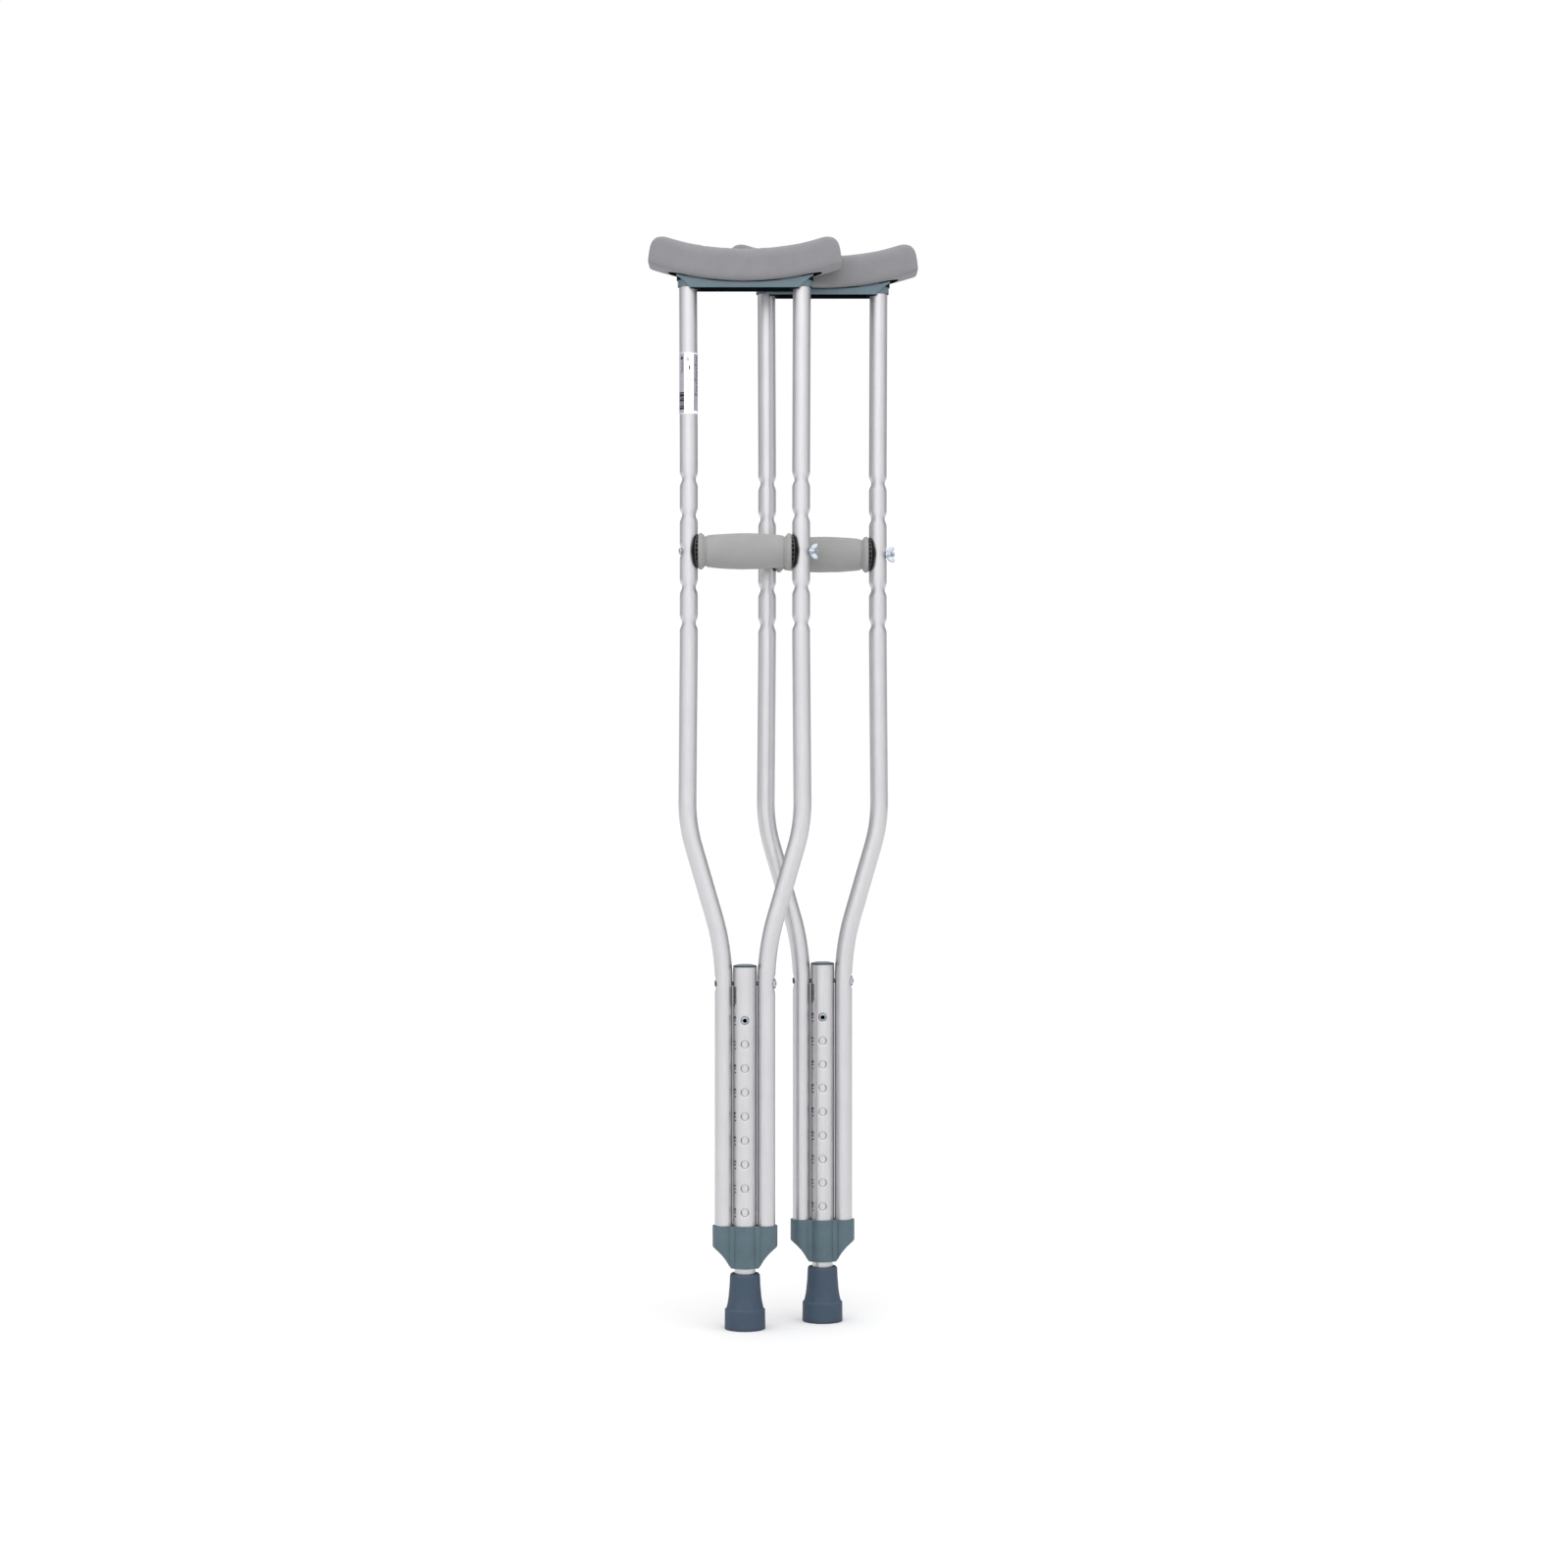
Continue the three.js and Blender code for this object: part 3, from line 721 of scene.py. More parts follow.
def upright(side):
    wall = TubeWall(UPRIGHT_R, UPRIGHT_WALL, 5.2, upright_bend(side))
    drilled = {RIGHT: BOLT_HOLE_R, LEFT: BOLT_HOLE_R}
    reach = 6
    bolt = FRAME_BOLT_Z
    bands = [
        (UPRIGHT_LOW.z, bolt - 14, 24, {}),
        (bolt - 14, bolt - reach, 8, {}),
        (bolt - reach, bolt + reach, PATCH, drilled),
        (bolt + reach, bolt + 14, 8, {}),
        (bolt + 14, BEND_START + 10, 44, {}),
        (BEND_START + 10, STATIONS[0] - 16, 14, {}),
        (STATIONS[0] - 16, STATIONS[0] - reach, 7, {}),
    ]
    for n, station in enumerate(STATIONS):
        bands.append((station - reach, station + reach, PATCH, drilled))
        if n < len(STATIONS) - 1:
            bands.append((station + reach, STATIONS[n + 1] - reach, 18, {}))
    bands += [
        (STATIONS[-1] + reach, STATIONS[-1] + 16, 7, {}),
        (STATIONS[-1] + 16, UPRIGHT_HIGH.z, 16, {}),
    ]
    return wall.build(bands)


def centre_tube():
    wall = TubeWall(CENTRE_R, TUBE_WALL, 7)
    half = HOLE_PITCH / 2
    bands = [(CENTRE_LOW.z, HOLE_ZS[-1] - half, 10, {})]
    bands += [(z - half, z + half, PATCH, {FRONT: HOLE_R, BACK: HOLE_R}) for z in reversed(HOLE_ZS)]
    bands += [
        (HOLE_ZS[0] + half, FRAME_BOLT_Z - 6, 5, {}),
        (FRAME_BOLT_Z - 6, FRAME_BOLT_Z + 6, PATCH, {RIGHT: BOLT_HOLE_R, LEFT: BOLT_HOLE_R}),
        (FRAME_BOLT_Z + 6, CENTRE_HIGH.z, 4, {}),
    ]
    return wall.build(bands)


def leg_tube():
    wall = TubeWall(LEG_R, TUBE_WALL, 6.2)
    bands = [
        (LEG_LOW.z, HOLE_TOP_Z - 9, 60, {}),
        (HOLE_TOP_Z - 9, HOLE_TOP_Z + 9, PATCH, {FRONT: HOLE_R + 0.05, BACK: HOLE_R + 0.05}),
        (HOLE_TOP_Z + 9, LEG_HIGH.z, 4, {}),
    ]
    return wall.build(bands)


def height_hole_in_shade(at, normal):
    """The walls of the height holes, and the steep part of their eased rims, where shade is painted."""
    near_hole = min(math.hypot(at.x, at.z - z) for z in HOLE_ZS) < HOLE_R + 0.25
    return near_hole and abs(at.y) > CENTRE_R - TUBE_WALL - 1 and abs(normal.y) < 0.75


for hand, side in (("left", -1), ("right", 1)):
    place(upright(side), f"{hand}_upright_tube", "frame", "aluminium", ALUMINIUM,
          [f"{hand}_upright"])
place(centre_tube(), "centre_tube_drawn", "frame", "aluminium", ALUMINIUM, ["centre_tube"],
      inside=(STEEL_PAINTED_SHADE, height_hole_in_shade))
place(leg_tube(), "leg_tube_drawn", "leg", "aluminium", ALUMINIUM, ["leg_tube"])


# --- centre tube cap
CAP_FACE_R = 11.6
CAP_RIM_R = 12.5


def tube_cap():
    rim = CENTRE_HIGH.z + 0.15
    plug_r = CENTRE_R - TUBE_WALL - 0.2
    return turned(rounded([
        (0, CAP_LOW.z, 0), (plug_r - 1, CAP_LOW.z, 0.8), (plug_r, CAP_LOW.z + 2, 0.5),
        (plug_r, rim, 0), (12.1, rim, 0.2), (CAP_RIM_R, rim + 0.4, 0.3), (CAP_RIM_R, rim + 1.4, 0.35),
        (CAP_FACE_R, rim + 1.7, 0.4), (7.5, CAP_HIGH.z - 0.1, 5), (0, CAP_HIGH.z, 0)]), 64)


# the cap's outer rim, beyond its face, is painted with shade
def cap_rim_in_shade(at, normal):
    return math.hypot(at.x, at.y) > CAP_FACE_R


place(tube_cap(), "centre_cap", "frame", "teal_plastic", TEAL, ["centre_tube_cap"],
      inside=(TEAL_RIM_SHADE, cap_rim_in_shade))


# --- threads, bolts and nuts
THREAD_PITCH = 0.8
THREAD_DEPTH = 0.34
HEAD_R = 4.2


def screw(head, seat, shank_end, thread_from):
    """A bolt along Z: the head's (radius, z) points below the seat, then a threaded shank."""
    steps = int((shank_end - thread_from) / (THREAD_PITCH / 6))
    run = [(BOLT_R, z) for z in spread(thread_from, shank_end - 0.5, steps)]
    profile = head + [(BOLT_R, seat), *run, (BOLT_R - 0.5, shank_end), (0, shank_end)]

    def groove(radius, z, turn):
        if not thread_from < z < shank_end - 0.4:
            return radius
        place_on_pitch = (z / THREAD_PITCH - turn / (2 * math.pi)) % 1
        return radius - THREAD_DEPTH * abs(2 * place_on_pitch - 1)

    return turned(profile, 40, groove)


def dome_head(seat, top):
    """A low round head whose underside is at the seat, drawn from its crown outwards."""
    neck_r = BOLT_HOLE_R - 0.1
    return rounded([
        (0, top, 0), (HEAD_R * 0.55, top + 0.12, 1.6), (HEAD_R, lerp(top, seat, 0.55), 1.2),
        (HEAD_R, seat, 0.25), (neck_r, seat, 0), (neck_r, seat + 2, 0.3), (BOLT_R, seat + 2, 0)])


NUT_SEAT = UPRIGHT_X_LOW + UPRIGHT_R - FRAME_DENT[1] + 0.4
NUT_END = NUT_SEAT + 3.7
NUT_CORNER_R = 5.5


def frame_bolt():
    head = dome_head(-UPRIGHT_X_LOW - UPRIGHT_R + FRAME_DENT[-1] - 0.1, FRAME_BOLT_LOW.x)
    return along_x(screw(head, -27, NUT_END + 0.7, 20), FRAME_BOLT_Z)


def frame_nut():
    """A chamfered hexagon: its radius follows the six flats, and its ends are turned down."""
    low, high, corner, bore = NUT_SEAT, NUT_END, NUT_CORNER_R, BOLT_R + 0.15
    profile = [(bore, low), (bore + 0.5, low), (corner - 0.9, low), (corner, low + 0.7),
               (corner, high - 0.7), (corner - 0.9, high), (bore + 0.5, high), (bore, high - 0.4)]
    flat = corner * math.cos(math.pi / 6)

    def hexagon(radius, z, turn):
        off_flat = (turn + math.pi / 6) % (math.pi / 3) - math.pi / 6
        return min(radius, flat / math.cos(off_flat))

    return along_x(turned(profile, 96, hexagon), FRAME_BOLT_Z)


def grip_bolt():
    head = dome_head(-UPRIGHT_X_GRIP - UPRIGHT_R + DENT_LEFT - 0.1, GRIP_BOLT_LOW.x)
    return along_x(screw(head, -64, GRIP_BOLT_HIGH.x, 60), GRIP_Z)


WING_TURN = math.radians(-28)


def wing_nut():
    """A domed hub with two loop wings that lean outwards, melted into one casting."""
    hub = ((0, -1.6, 0), (2.75, -1.6, 0.2), (2.75, 0, 0), (3.8, 0, 0.4), (3.5, 4.4, 0.9),
           (2.9, 5.8, 0.4), (0, 5.8, 0))
    hub = rounded([(r, WING_SEAT + x, ease) for r, x, ease in hub])
    wing = ((0.9, 1.0, 0), (1.6, 3.4, 2), (4.4, 7.6, 3), (7.6, 9.3, 1.6), (9.2, 8.4, 1.4),
            (8.0, 4.6, 3), (5.4, 2.6, 1.5), (4.8, 1.0, 0))
    wing = rounded([(WING_SEAT + x, r, ease) for x, r, ease in wing], closed=True)
    shapes = [along_x(turned(hub, 48))]
    for side in (-1, 1):
        outline = [(x, side * r) for x, r in wing]
        shapes.append(on_edge(prism(outline, -0.55, 0.55)))
        shapes.append(loop_tube([(x, 0, z) for x, z in outline], 0.85, 10))
    mesh = remeshed(to_mesh(joined(*shapes)), 0.26)
    bore = along_x(cylinder(BOLT_R + 0.1, WING_SEAT - 3, WING_SEAT + 12, 32))
    mesh = combined(mesh, [bore])
    mesh.transform(Matrix.Rotation(WING_TURN, 4, "X"))
    mesh.transform(Matrix.Translation((0, 0, GRIP_Z * MM)))
    return mesh


# the frame bolt takes the steel painted with shade, as its head sits in shadow in its dent
place(frame_bolt(), "frame_bolt_turned", "frame", "steel", STEEL_PAINTED_SHADE, ["frame_bolt"])
place(frame_nut(), "frame_hex_nut", "frame", "zinc", ZINC, ["frame_nut"], sharp=25)
place(grip_bolt(), "grip_bolt_turned", "grip", "zinc", ZINC, ["grip_bolt"])
place(wing_nut(), "wing_nut_cast", "wing_nut", "zinc", ZINC, ["wing_nut"])


# --- lower collar
LOBE_R = COLLAR_HIGH.x - UPRIGHT_X_LOW
CENTRE_LOBE_R = COLLAR_HIGH.y
VALLEY_X = 10.2
WEB_X = 16.6
CORNER_X = 13.4
COLLAR_HALF = 34.5
FLANK_CENTRE = (59.5, 47.1)
FLANK_R = 47.6
FLANK_TOP_Z = 87.4
CLEAR_OF_COLLAR = 130


def collar_plan():
    """The collar seen from above: three round lobes with a web in each valley between them."""
    valley_y = math.sqrt(CENTRE_LOBE_R ** 2 - VALLEY_X ** 2)
    turn = math.atan2(valley_y, VALLEY_X)
    foot = math.pi - math.acos((UPRIGHT_X_LOW - WEB_X) / LOBE_R)
    lobe = arc(UPRIGHT_X_LOW, 0, LOBE_R, -foot, foot, 30)
    web = [(WEB_X - 0.9, lobe[-1][1] - 0.75), (VALLEY_X + 0.7, valley_y - 1.0),
           (VALLEY_X + 0.1, valley_y - 1.1)]
    front = arc(0, 0, CENTRE_LOBE_R, turn - 0.03, math.pi - turn + 0.03, 18)
    half_plan = lobe + web + front + [(-x, y) for x, y in reversed(web)]
    return half_plan + [(-x, -y) for x, y in half_plan]


def collar_flank():
    """What is cut away beside the collar's right flank: its curve, then a block outside it."""
    low, beyond = COLLAR_LOW.z, FLANK_TOP_Z + 4
    start = math.atan2(FLANK_TOP_Z - FLANK_CENTRE[1], COLLAR_HALF - FLANK_CENTRE[0])
    end = math.atan2(low - 1 - FLANK_CENTRE[1], 15 - FLANK_CENTRE[0])
    curve = arc(*FLANK_CENTRE, FLANK_R, start, end, 18)
    skim = COLLAR_HALF - 0.02
    outline = rounded([(skim, beyond, 0), (skim, FLANK_TOP_Z + 0.2, 2.6), (*curve[2], 0)], 6)
    outline += [(x, z) for x, z in curve[3:] if z > low + 3]
    outline += rounded([(*outline[-1], 0), (CORNER_X + 1.2, low + 0.2, 2.2), (CORNER_X - 3, low, 0)], 6)
    return outline + [(CORNER_X - 3, low - 5), (50, low - 5), (50, beyond)]


def lower_collar():
    body = to_mesh(prism(collar_plan(), COLLAR_LOW.z, COLLAR_HIGH.z))
    flank = collar_flank()
    tools = [on_edge(prism([(side * x, z) for x, z in flank], -40, 40)) for side in (-1, 1)]
    shaped = softened(combined(body, tools), 1.3, 4, 34)
    socket = cylinder(SOCKET_R, UPRIGHT_LOW.z - 0.3, CLEAR_OF_COLLAR, 48)
    bores = on_both_sides(socket, UPRIGHT_X_LOW)
    bores.append(cylinder(CENTRE_R + 0.25, CENTRE_LOW.z - 0.3, CLEAR_OF_COLLAR, 56))
    bores.append(cylinder(LEG_R + 0.3, 40, CLEAR_OF_COLLAR, 56))
    return combined(shaped, bores)


place(lower_collar(), "collar_moulding", "frame", "teal_plastic", COLLAR_TEAL_SHADED, ["lower_collar"])


# --- rubber tip
TIP_RIBS = 14
TIP_FLOOR = 12.3


def rubber_tip():
    """Rings and grooves in the sole, a wall with short ribs above its foot, and a blind bore."""
    bore = LEG_R + 0.15
    top = TIP_TOP
    sole = [(0, 1.4), (3, 1.4), (3.6, 0.2), (6.6, 0.2), (7.2, 1.4), (9.8, 1.4), (10.4, 0.2),
            (13.6, 0.2), (14.2, 1.4), (16.6, 1.4), (17.2, 0.2)]
    outside = rounded([
        (17.2, 0.2, 0), (21.1, 0, 0.4), (21.6, 0.7, 0.5), (21.4, 20.6, 0.5), (19.55, 22.4, 0.7),
        (18.4, 27.5, 20), (17.4, 34.5, 30), (16.4, 46, 40), (15.95, 56.9, 1.4), (14.8, top, 1.0),
        (bore + 0.9, top, 0.5), (bore, 57.6, 0.3), (bore, TIP_FLOOR, 0), (0, TIP_FLOOR, 0)])
    denser = []
    for (r0, z0), (r1, z1) in zip(outside, outside[1:]):
        count = max(1, int(math.hypot(r1 - r0, z1 - z0) / 1.6))
        denser += [(lerp(r0, r1, n / count), lerp(z0, z1, n / count)) for n in range(count)]
    denser.append(outside[-1])

    def ribs(radius, z, turn):
        outer = radius > bore + 2
        on_cone = smoothstep(z, 21.9, 22.6) * (1 - smoothstep(z, 28, 33))
        tooth = max(0, math.cos((turn + math.pi / 2) * TIP_RIBS)) ** 12
        return radius + (0.4 * on_cone * tooth if outer else 0)

    return turned(sole + denser[1:], 192, ribs)


place(rubber_tip(), "tip_moulding", "leg", "tip_rubber", RUBBER, ["rubber_tip"], sharp=50)


# --- snap buttons and spring
def snap_button():
    """The front button: a flange inside the tube and a domed stud with a hole down its middle."""
    inner, dome = -BUTTON_HIGH.y, -BUTTON_LOW.y
    profile = rounded([
        (0, inner + 0.8, 0), (2.0, inner + 0.8, 0.2), (2.6, inner, 0.2), (4.9, inner, 0.2),
        (4.9, inner + 0.7, 0.2), (4.1, inner + 0.7, 0.2), (4.1, dome - 1.7, 1.0),
        (3.2, dome - 0.1, 0.9), (2.4, dome - 0.1, 0.3), (2.0, dome - 0.7, 0.3),
        (2.0, inner + 1.5, 0.2), (0, inner + 1.5, 0)])
    return along_front(turned(profile, 48), HOLE_TOP_Z)


def snap_spring():
    """A strip bent double whose arms press outwards behind the two buttons."""
    thick, width = 0.7, 7
    outer = SPRING_HIGH.y - thick / 2
    foot = SPRING_LOW.z + 2.6 + thick / 2
    centre_line = rounded([(outer, SPRING_HIGH.z, 0), (outer, HOLE_TOP_Z - 8, 6), (2.4, foot, 2.2),
                           (0, foot - 2.6, 2.0), (-2.4, foot, 2.2), (-outer, HOLE_TOP_Z - 8, 6),
                           (-outer, SPRING_HIGH.z, 0)], steps=7)
    left, right = [], []
    for (y, z), along in zip(centre_line, headings(centre_line, closed=False)):
        left.append((y - along.y * thick / 2, z + along.x * thick / 2))
        right.append((y + along.y * thick / 2, z - along.x * thick / 2))
    strip = prism(left + right[::-1], -width / 2, width / 2)
    return moved(strip, lambda a, b, c: (c, a, b))


def in_button_hole(at, normal):
    return math.hypot(at.x, at.z - HOLE_TOP_Z) < 2.1 and abs(at.y) > -BUTTON_HIGH.y + 1


for face, sign in (("front", 1), ("back", -1)):
    button = moved(snap_button(), lambda x, y, z, s=sign: (s * x, s * y, z))
    place(button, f"snap_button_{face}_drawn", f"button_{face}", "zinc", ZINC,
          [f"snap_button_{face}"], inside=(BLACK_DEEP, in_button_hole))

ARM_FLOOR = HOLE_TOP_Z - 7
ARM_CUT = 0.05
spring = to_mesh(snap_spring())
upper_end = box((-5, 5), (-12, 12), (ARM_FLOOR - ARM_CUT, SPRING_HIGH.z + 1))
place(combined(spring.copy(), [upper_end]), "snap_spring_strip", "leg", "steel", STEEL,
      ["snap_spring"])
# the tops of the strip's arms give way with the buttons that they carry
for face, reach in (("front", (-12, 0)), ("back", (0, 12))):
    upper_end = box((-5, 5), reach, (ARM_FLOOR + ARM_CUT, SPRING_HIGH.z + 1))
    place(combined(spring.copy(), [upper_end], "INTERSECT"), f"spring_arm_{face}",
          f"button_{face}", "steel", STEEL)


def flat_washer():
    low, high, outer, inner = TIP_FLOOR + 0.3, TIP_FLOOR + 1.8, LEG_R - 0.1, 2.5
    corners = [(inner, low, 0), (outer, low, 0.3), (outer, high, 0.3), (inner, high, 0)]
    return turned(rounded(corners, closed=True), 48)


place(flat_washer(), "tip_washer_pressed", "leg", "steel", STEEL, ["tip_washer"])


# --- hand grip
FOAM_HALF = (FOAM_HIGH.x - FOAM_LOW.x) / 2
BARREL_R = (FOAM_HIGH.z - FOAM_LOW.z) / 2
FOAM_BORE_R = 11.9
FLANGE = 7.6
NECK_R = 15.2
CORE_END_R = 18.2
CORE_REACH = 3.2
CORE_RIB_TURN = math.radians(15)


def grip_foam():
    """The foam sleeve about Z: a rolled flange, a groove behind it and a barrel that swells."""
    neck = FOAM_HALF - FLANGE
    end = rounded([
        (FOAM_BORE_R, FOAM_HALF - 2.5, 0), (12.4, FOAM_HALF, 1.2), (17.4, FOAM_HALF, 2.0),
        (BARREL_R + 0.35, FOAM_HALF - 1.6, 2.4), (BARREL_R + 0.1, FOAM_HALF - 4.2, 2.2),
        (NECK_R, neck, 0.7), (NECK_R + 1.3, neck - 1.7, 1.6), (NECK_R + 1.75, neck - 4, 0)], steps=7)
    barrel = []
    for z in spread(neck - 5, 0, 15)[:-1]:
        swell = 1 - (z / (neck - 4)) ** 2
        barrel.append((lerp(NECK_R + 1.75, BARREL_R, max(swell, 0) ** 0.9), z))
    half = end + barrel
    other = [(r, -z) for r, z in reversed(half)]
    bore = [(FOAM_BORE_R, z) for z in spread(-FOAM_HALF + 6, FOAM_HALF - 6, 9)]
    verts, faces = turned(half + [(BARREL_R, 0)] + other + bore, 96)
    # the foam isn't turned in a lathe, so its skin wanders a little
    soft = []
    for x, y, z in verts:
        r = math.hypot(x, y)
        at = Vector((x, y, z))
        wander = 0.22 * noise.noise(at * 0.07) + 0.07 * noise.noise(at * 0.35)
        grow = 1 + wander / r * smoothstep(r, 13, 15)
        soft.append((x * grow, y * grow, z))
    return along_x((soft, faces), GRIP_Z)


def grip_core():
    """The moulded tube inside the foam. Its ends wrap round the uprights as a lip, with a row of
    ribs in the recess between the lip and the foam."""
    start = FOAM_HALF + 0.1
    body = to_mesh(along_x(cylinder(11.6, -start - 0.5, start + 0.5, 64)))
    drum = along_x(cylinder(CORE_END_R, -FOAM_HALF - 12, FOAM_HALF + 12, 94))
    ends = []
    tools = []
    for side in (-1, 1):
        lip = [(side * (start + CORE_REACH * math.cos(t)), CORE_END_R * math.sin(t))
               for t in spread(-math.pi / 2, math.pi / 2, 38)]
        lip = [(side * start, -CORE_END_R)] + lip + [(side * start, CORE_END_R)]
        block = to_mesh(on_edge(prism(lip, -CORE_END_R, CORE_END_R)))
        ends.append(from_mesh(combined(block, [drum], "INTERSECT")))
        tools.append(shifted(cylinder(SOCKET_R, -30, 30, 64), side * UPRIGHT_X_GRIP))
        for n in range(-4, 5):
            turn = n * CORE_RIB_TURN
            reach = start + CORE_REACH * math.cos(turn) - 1.0
            recess = sorted((side * (start + 0.3), side * reach))
            cell = box(recess, (CORE_END_R - 3.3, CORE_END_R + 6), (-1.6, 1.6))
            for face in (-1, 1):
                tools.append(moved(cell, lambda x, y, z, t=turn, f=face: (
                    x, f * (y * math.cos(t) - z * math.sin(t)), y * math.sin(t) + z * math.cos(t))))
    tools.append(along_x(cylinder(BOLT_R + 0.2, -70, 70, 32)))
    body = combined(body, ends, "UNION")
    mesh = softened(combined(body, tools), 0.22, 2, 40)
    mesh.transform(Matrix.Translation((0, 0, GRIP_Z * MM)))
    return mesh


def in_core_recess(at, normal):
    radius = math.hypot(at.y, at.z - GRIP_Z)
    outward = (at.y * normal.y + (at.z - GRIP_Z) * normal.z) / max(radius, 1)
    return radius < CORE_END_R - 1.5 or (radius < CORE_END_R - 0.25 and outward < 0.6)


place(grip_foam(), "grip_foam_sleeve", "grip", "grip_foam", GRIP_COVER, ["grip_foam"],
      sharp=60, fill=0.9)
place(grip_core(), "grip_core_moulding", "grip", "black_plastic", BLACK, ["grip_core"],
      inside=(BLACK_DEEP, in_core_recess))


# --- underarm saddle and pad
PAD_HALF = PAD_HIGH.x + 1.5
PAD_DEPTH = PAD_HIGH.y - PAD_LOW.y
PAD_BOTTOM_R = 320
PAD_PEAK_X = 87
PAD_DIP_Z = 1144.7
SADDLE_HALF_BOTTOM = 56.5
SADDLE_DEPTH = SADDLE_HIGH.y - SADDLE_LOW.y
CORE_HALF_DEPTH = 12
CORE_BASE = SADDLE_LOW.z + 9.5
POCKET_RIB_X = 17.5
POCKET_END_X = 47
SLOT_HALF = 82.0
BELOW_PAD = 1090
PAD_SHRINK = 1.0
PAD_SWELL = 0.8


def pad_bottom_z(x):
    return PAD_LOW.z + PAD_BOTTOM_R - math.sqrt(PAD_BOTTOM_R ** 2 - x * x)


def core_plan(margin):
    """The saddle's core seen from above: a bar with round ends."""
    r = CORE_HALF_DEPTH + margin
    return (arc(UPRIGHT_X_TOP, 0, r, -math.pi / 2, math.pi / 2, 16)
            + arc(-UPRIGHT_X_TOP, 0, r, math.pi / 2, 1.5 * math.pi, 16))


def underarm_saddle():
    low = SADDLE_LOW.z
    half = SADDLE_DEPTH / 2
    under = [(x, pad_bottom_z(x) - 0.25) for x in spread(SADDLE_HIGH.x, -SADDLE_HIGH.x, 33)]
    outline = [(-SADDLE_HALF_BOTTOM, low), (SADDLE_HALF_BOTTOM, low)] + under
    plate = softened(to_mesh(on_edge(prism(outline, -half, half))), 1.0, 3, 20)
    core = prism(core_plan(0), CORE_BASE, SADDLE_HIGH.z)
    lip = cylinder(UPRIGHT_R + 1.4, low + 2.6, CORE_BASE + 1, 48)
    body = combined(plate, [core, *on_both_sides(lip, UPRIGHT_X_TOP)], "UNION")
    socket = cylinder(SOCKET_R, low - 20, UPRIGHT_HIGH.z + 0.3, 48)
    cells = ((-POCKET_END_X, -POCKET_RIB_X - 0.5), (0.5 - POCKET_RIB_X, POCKET_RIB_X - 0.5),
             (POCKET_RIB_X + 0.5, POCKET_END_X))
    pockets = [box(cell, (1.4 - half, half - 1.4), (low - 5, low + 4.6)) for cell in cells]
    cut = combined(body, on_both_sides(socket, UPRIGHT_X_TOP) + pockets)
    return softened(cut, 0.3, 2, 40)


def in_saddle_shade(at, normal):
    """The underside with its pockets, and the core's ends inside the pad's slot."""
    in_pocket = abs(at.y) < SADDLE_DEPTH / 2 - 0.6 and abs(at.x) < POCKET_END_X + 2.4
    by_rib = abs(abs(at.x) - POCKET_RIB_X) < 1 and at.y < 6 - SADDLE_DEPTH / 2
    if (normal.z < -0.5 or in_pocket) and at.z < SADDLE_LOW.z + 6 and not by_rib:
        return True
    past = abs(at.x) - UPRIGHT_X_TOP
    return past > 0 and at.z > CORE_BASE - 0.3 and math.hypot(past, at.y) < CORE_HALF_DEPTH + 0.2


def pad_outline():
    """The pad seen from the front, from its left bottom corner round to the right and back."""
    half, peak = PAD_HALF, (PAD_PEAK_X, PAD_HIGH.z)
    corner = pad_bottom_z(half)
    inset = half - 2
    right = bezier((inset, pad_bottom_z(inset)), (half, corner), (half, corner + 2.5), 5)
    right += bezier(right[-1], (half, peak[1] - 24), (half - 1.6, peak[1] - 13), 5)
    right += bezier(right[-1], (half - 4.0, peak[1] - 0.3), (PAD_PEAK_X + 1, peak[1]), 10)
    right += bezier(right[-1], (PAD_PEAK_X - 1, peak[1]), (PAD_PEAK_X - 4, peak[1] - 0.8), 3)
    right += bezier(right[-1], (PAD_PEAK_X * 0.53, PAD_DIP_Z), (0, PAD_DIP_Z), 22)
    left = [(-x, z) for x, z in reversed(right[:-1])]
    return [(x, pad_bottom_z(x)) for x in spread(-inset, inset, 41)] + right + left


def pad_blank(shrink):
    """The pad's starting solid: its outline with eased front and back edges, tighter below."""
    outline = pad_outline()
    half = PAD_DEPTH / 2 - shrink
    ways = headings(outline)
    verts, rings = [], []
    turns = spread(0, math.pi / 2, 7)
    for side, turn in [(-1, t) for t in reversed(turns)] + [(1, t) for t in turns]:
        ring = []
        for (x, z), way in zip(outline, ways):
            ease = lerp(3.2, 6.0, smoothstep(z, PAD_LOW.z + 14, PAD_LOW.z + 36))
            inset = shrink + ease * (1 - math.cos(turn))
            depth = half - ease + ease * math.sin(turn)
            ring.append(len(verts))
            verts.append((x - way.y * inset, side * depth, z + way.x * inset))
        rings.append(ring)
    faces = [tuple(rings[0]), tuple(reversed(rings[-1]))]
    for low, high in zip(rings, rings[1:]):
        faces += bridge(low, high)
    return verts, faces


def inflated(mesh, pressure, frames, cap):
    """The mesh after a short cloth simulation from inside; no point moves further than the cap."""
    obj = with_object(mesh)
    before = [v.co.copy() for v in obj.data.vertices]
    cloth = obj.modifiers.new("Cloth", "CLOTH").settings
    cloth.use_pressure = True
    cloth.uniform_pressure_force = pressure
    cloth.effector_weights.gravity = 0
    cloth.quality = 6
    cloth.tension_stiffness = 25
    cloth.compression_stiffness = 25
    cloth.bending_stiffness = 1.5
    scene = bpy.context.scene
    for n in range(1, frames + 1):
        scene.frame_set(n)
    result = applied(obj)
    scene.frame_set(1)
    for vertex, start in zip(result.vertices, before):
        shift = vertex.co - start
        if shift.length > cap * MM:
            vertex.co = start + shift.normalized() * cap * MM
    return result


def snapped(mesh, target):
    """Pulls every point of a remeshed skin back onto the crisp surface it came from."""
    helper = with_object(target)
    result = modified(mesh, ("SHRINKWRAP", {"target": helper, "wrap_method": "NEAREST_SURFACEPOINT"}))
    bpy.data.objects.remove(helper)
    return result


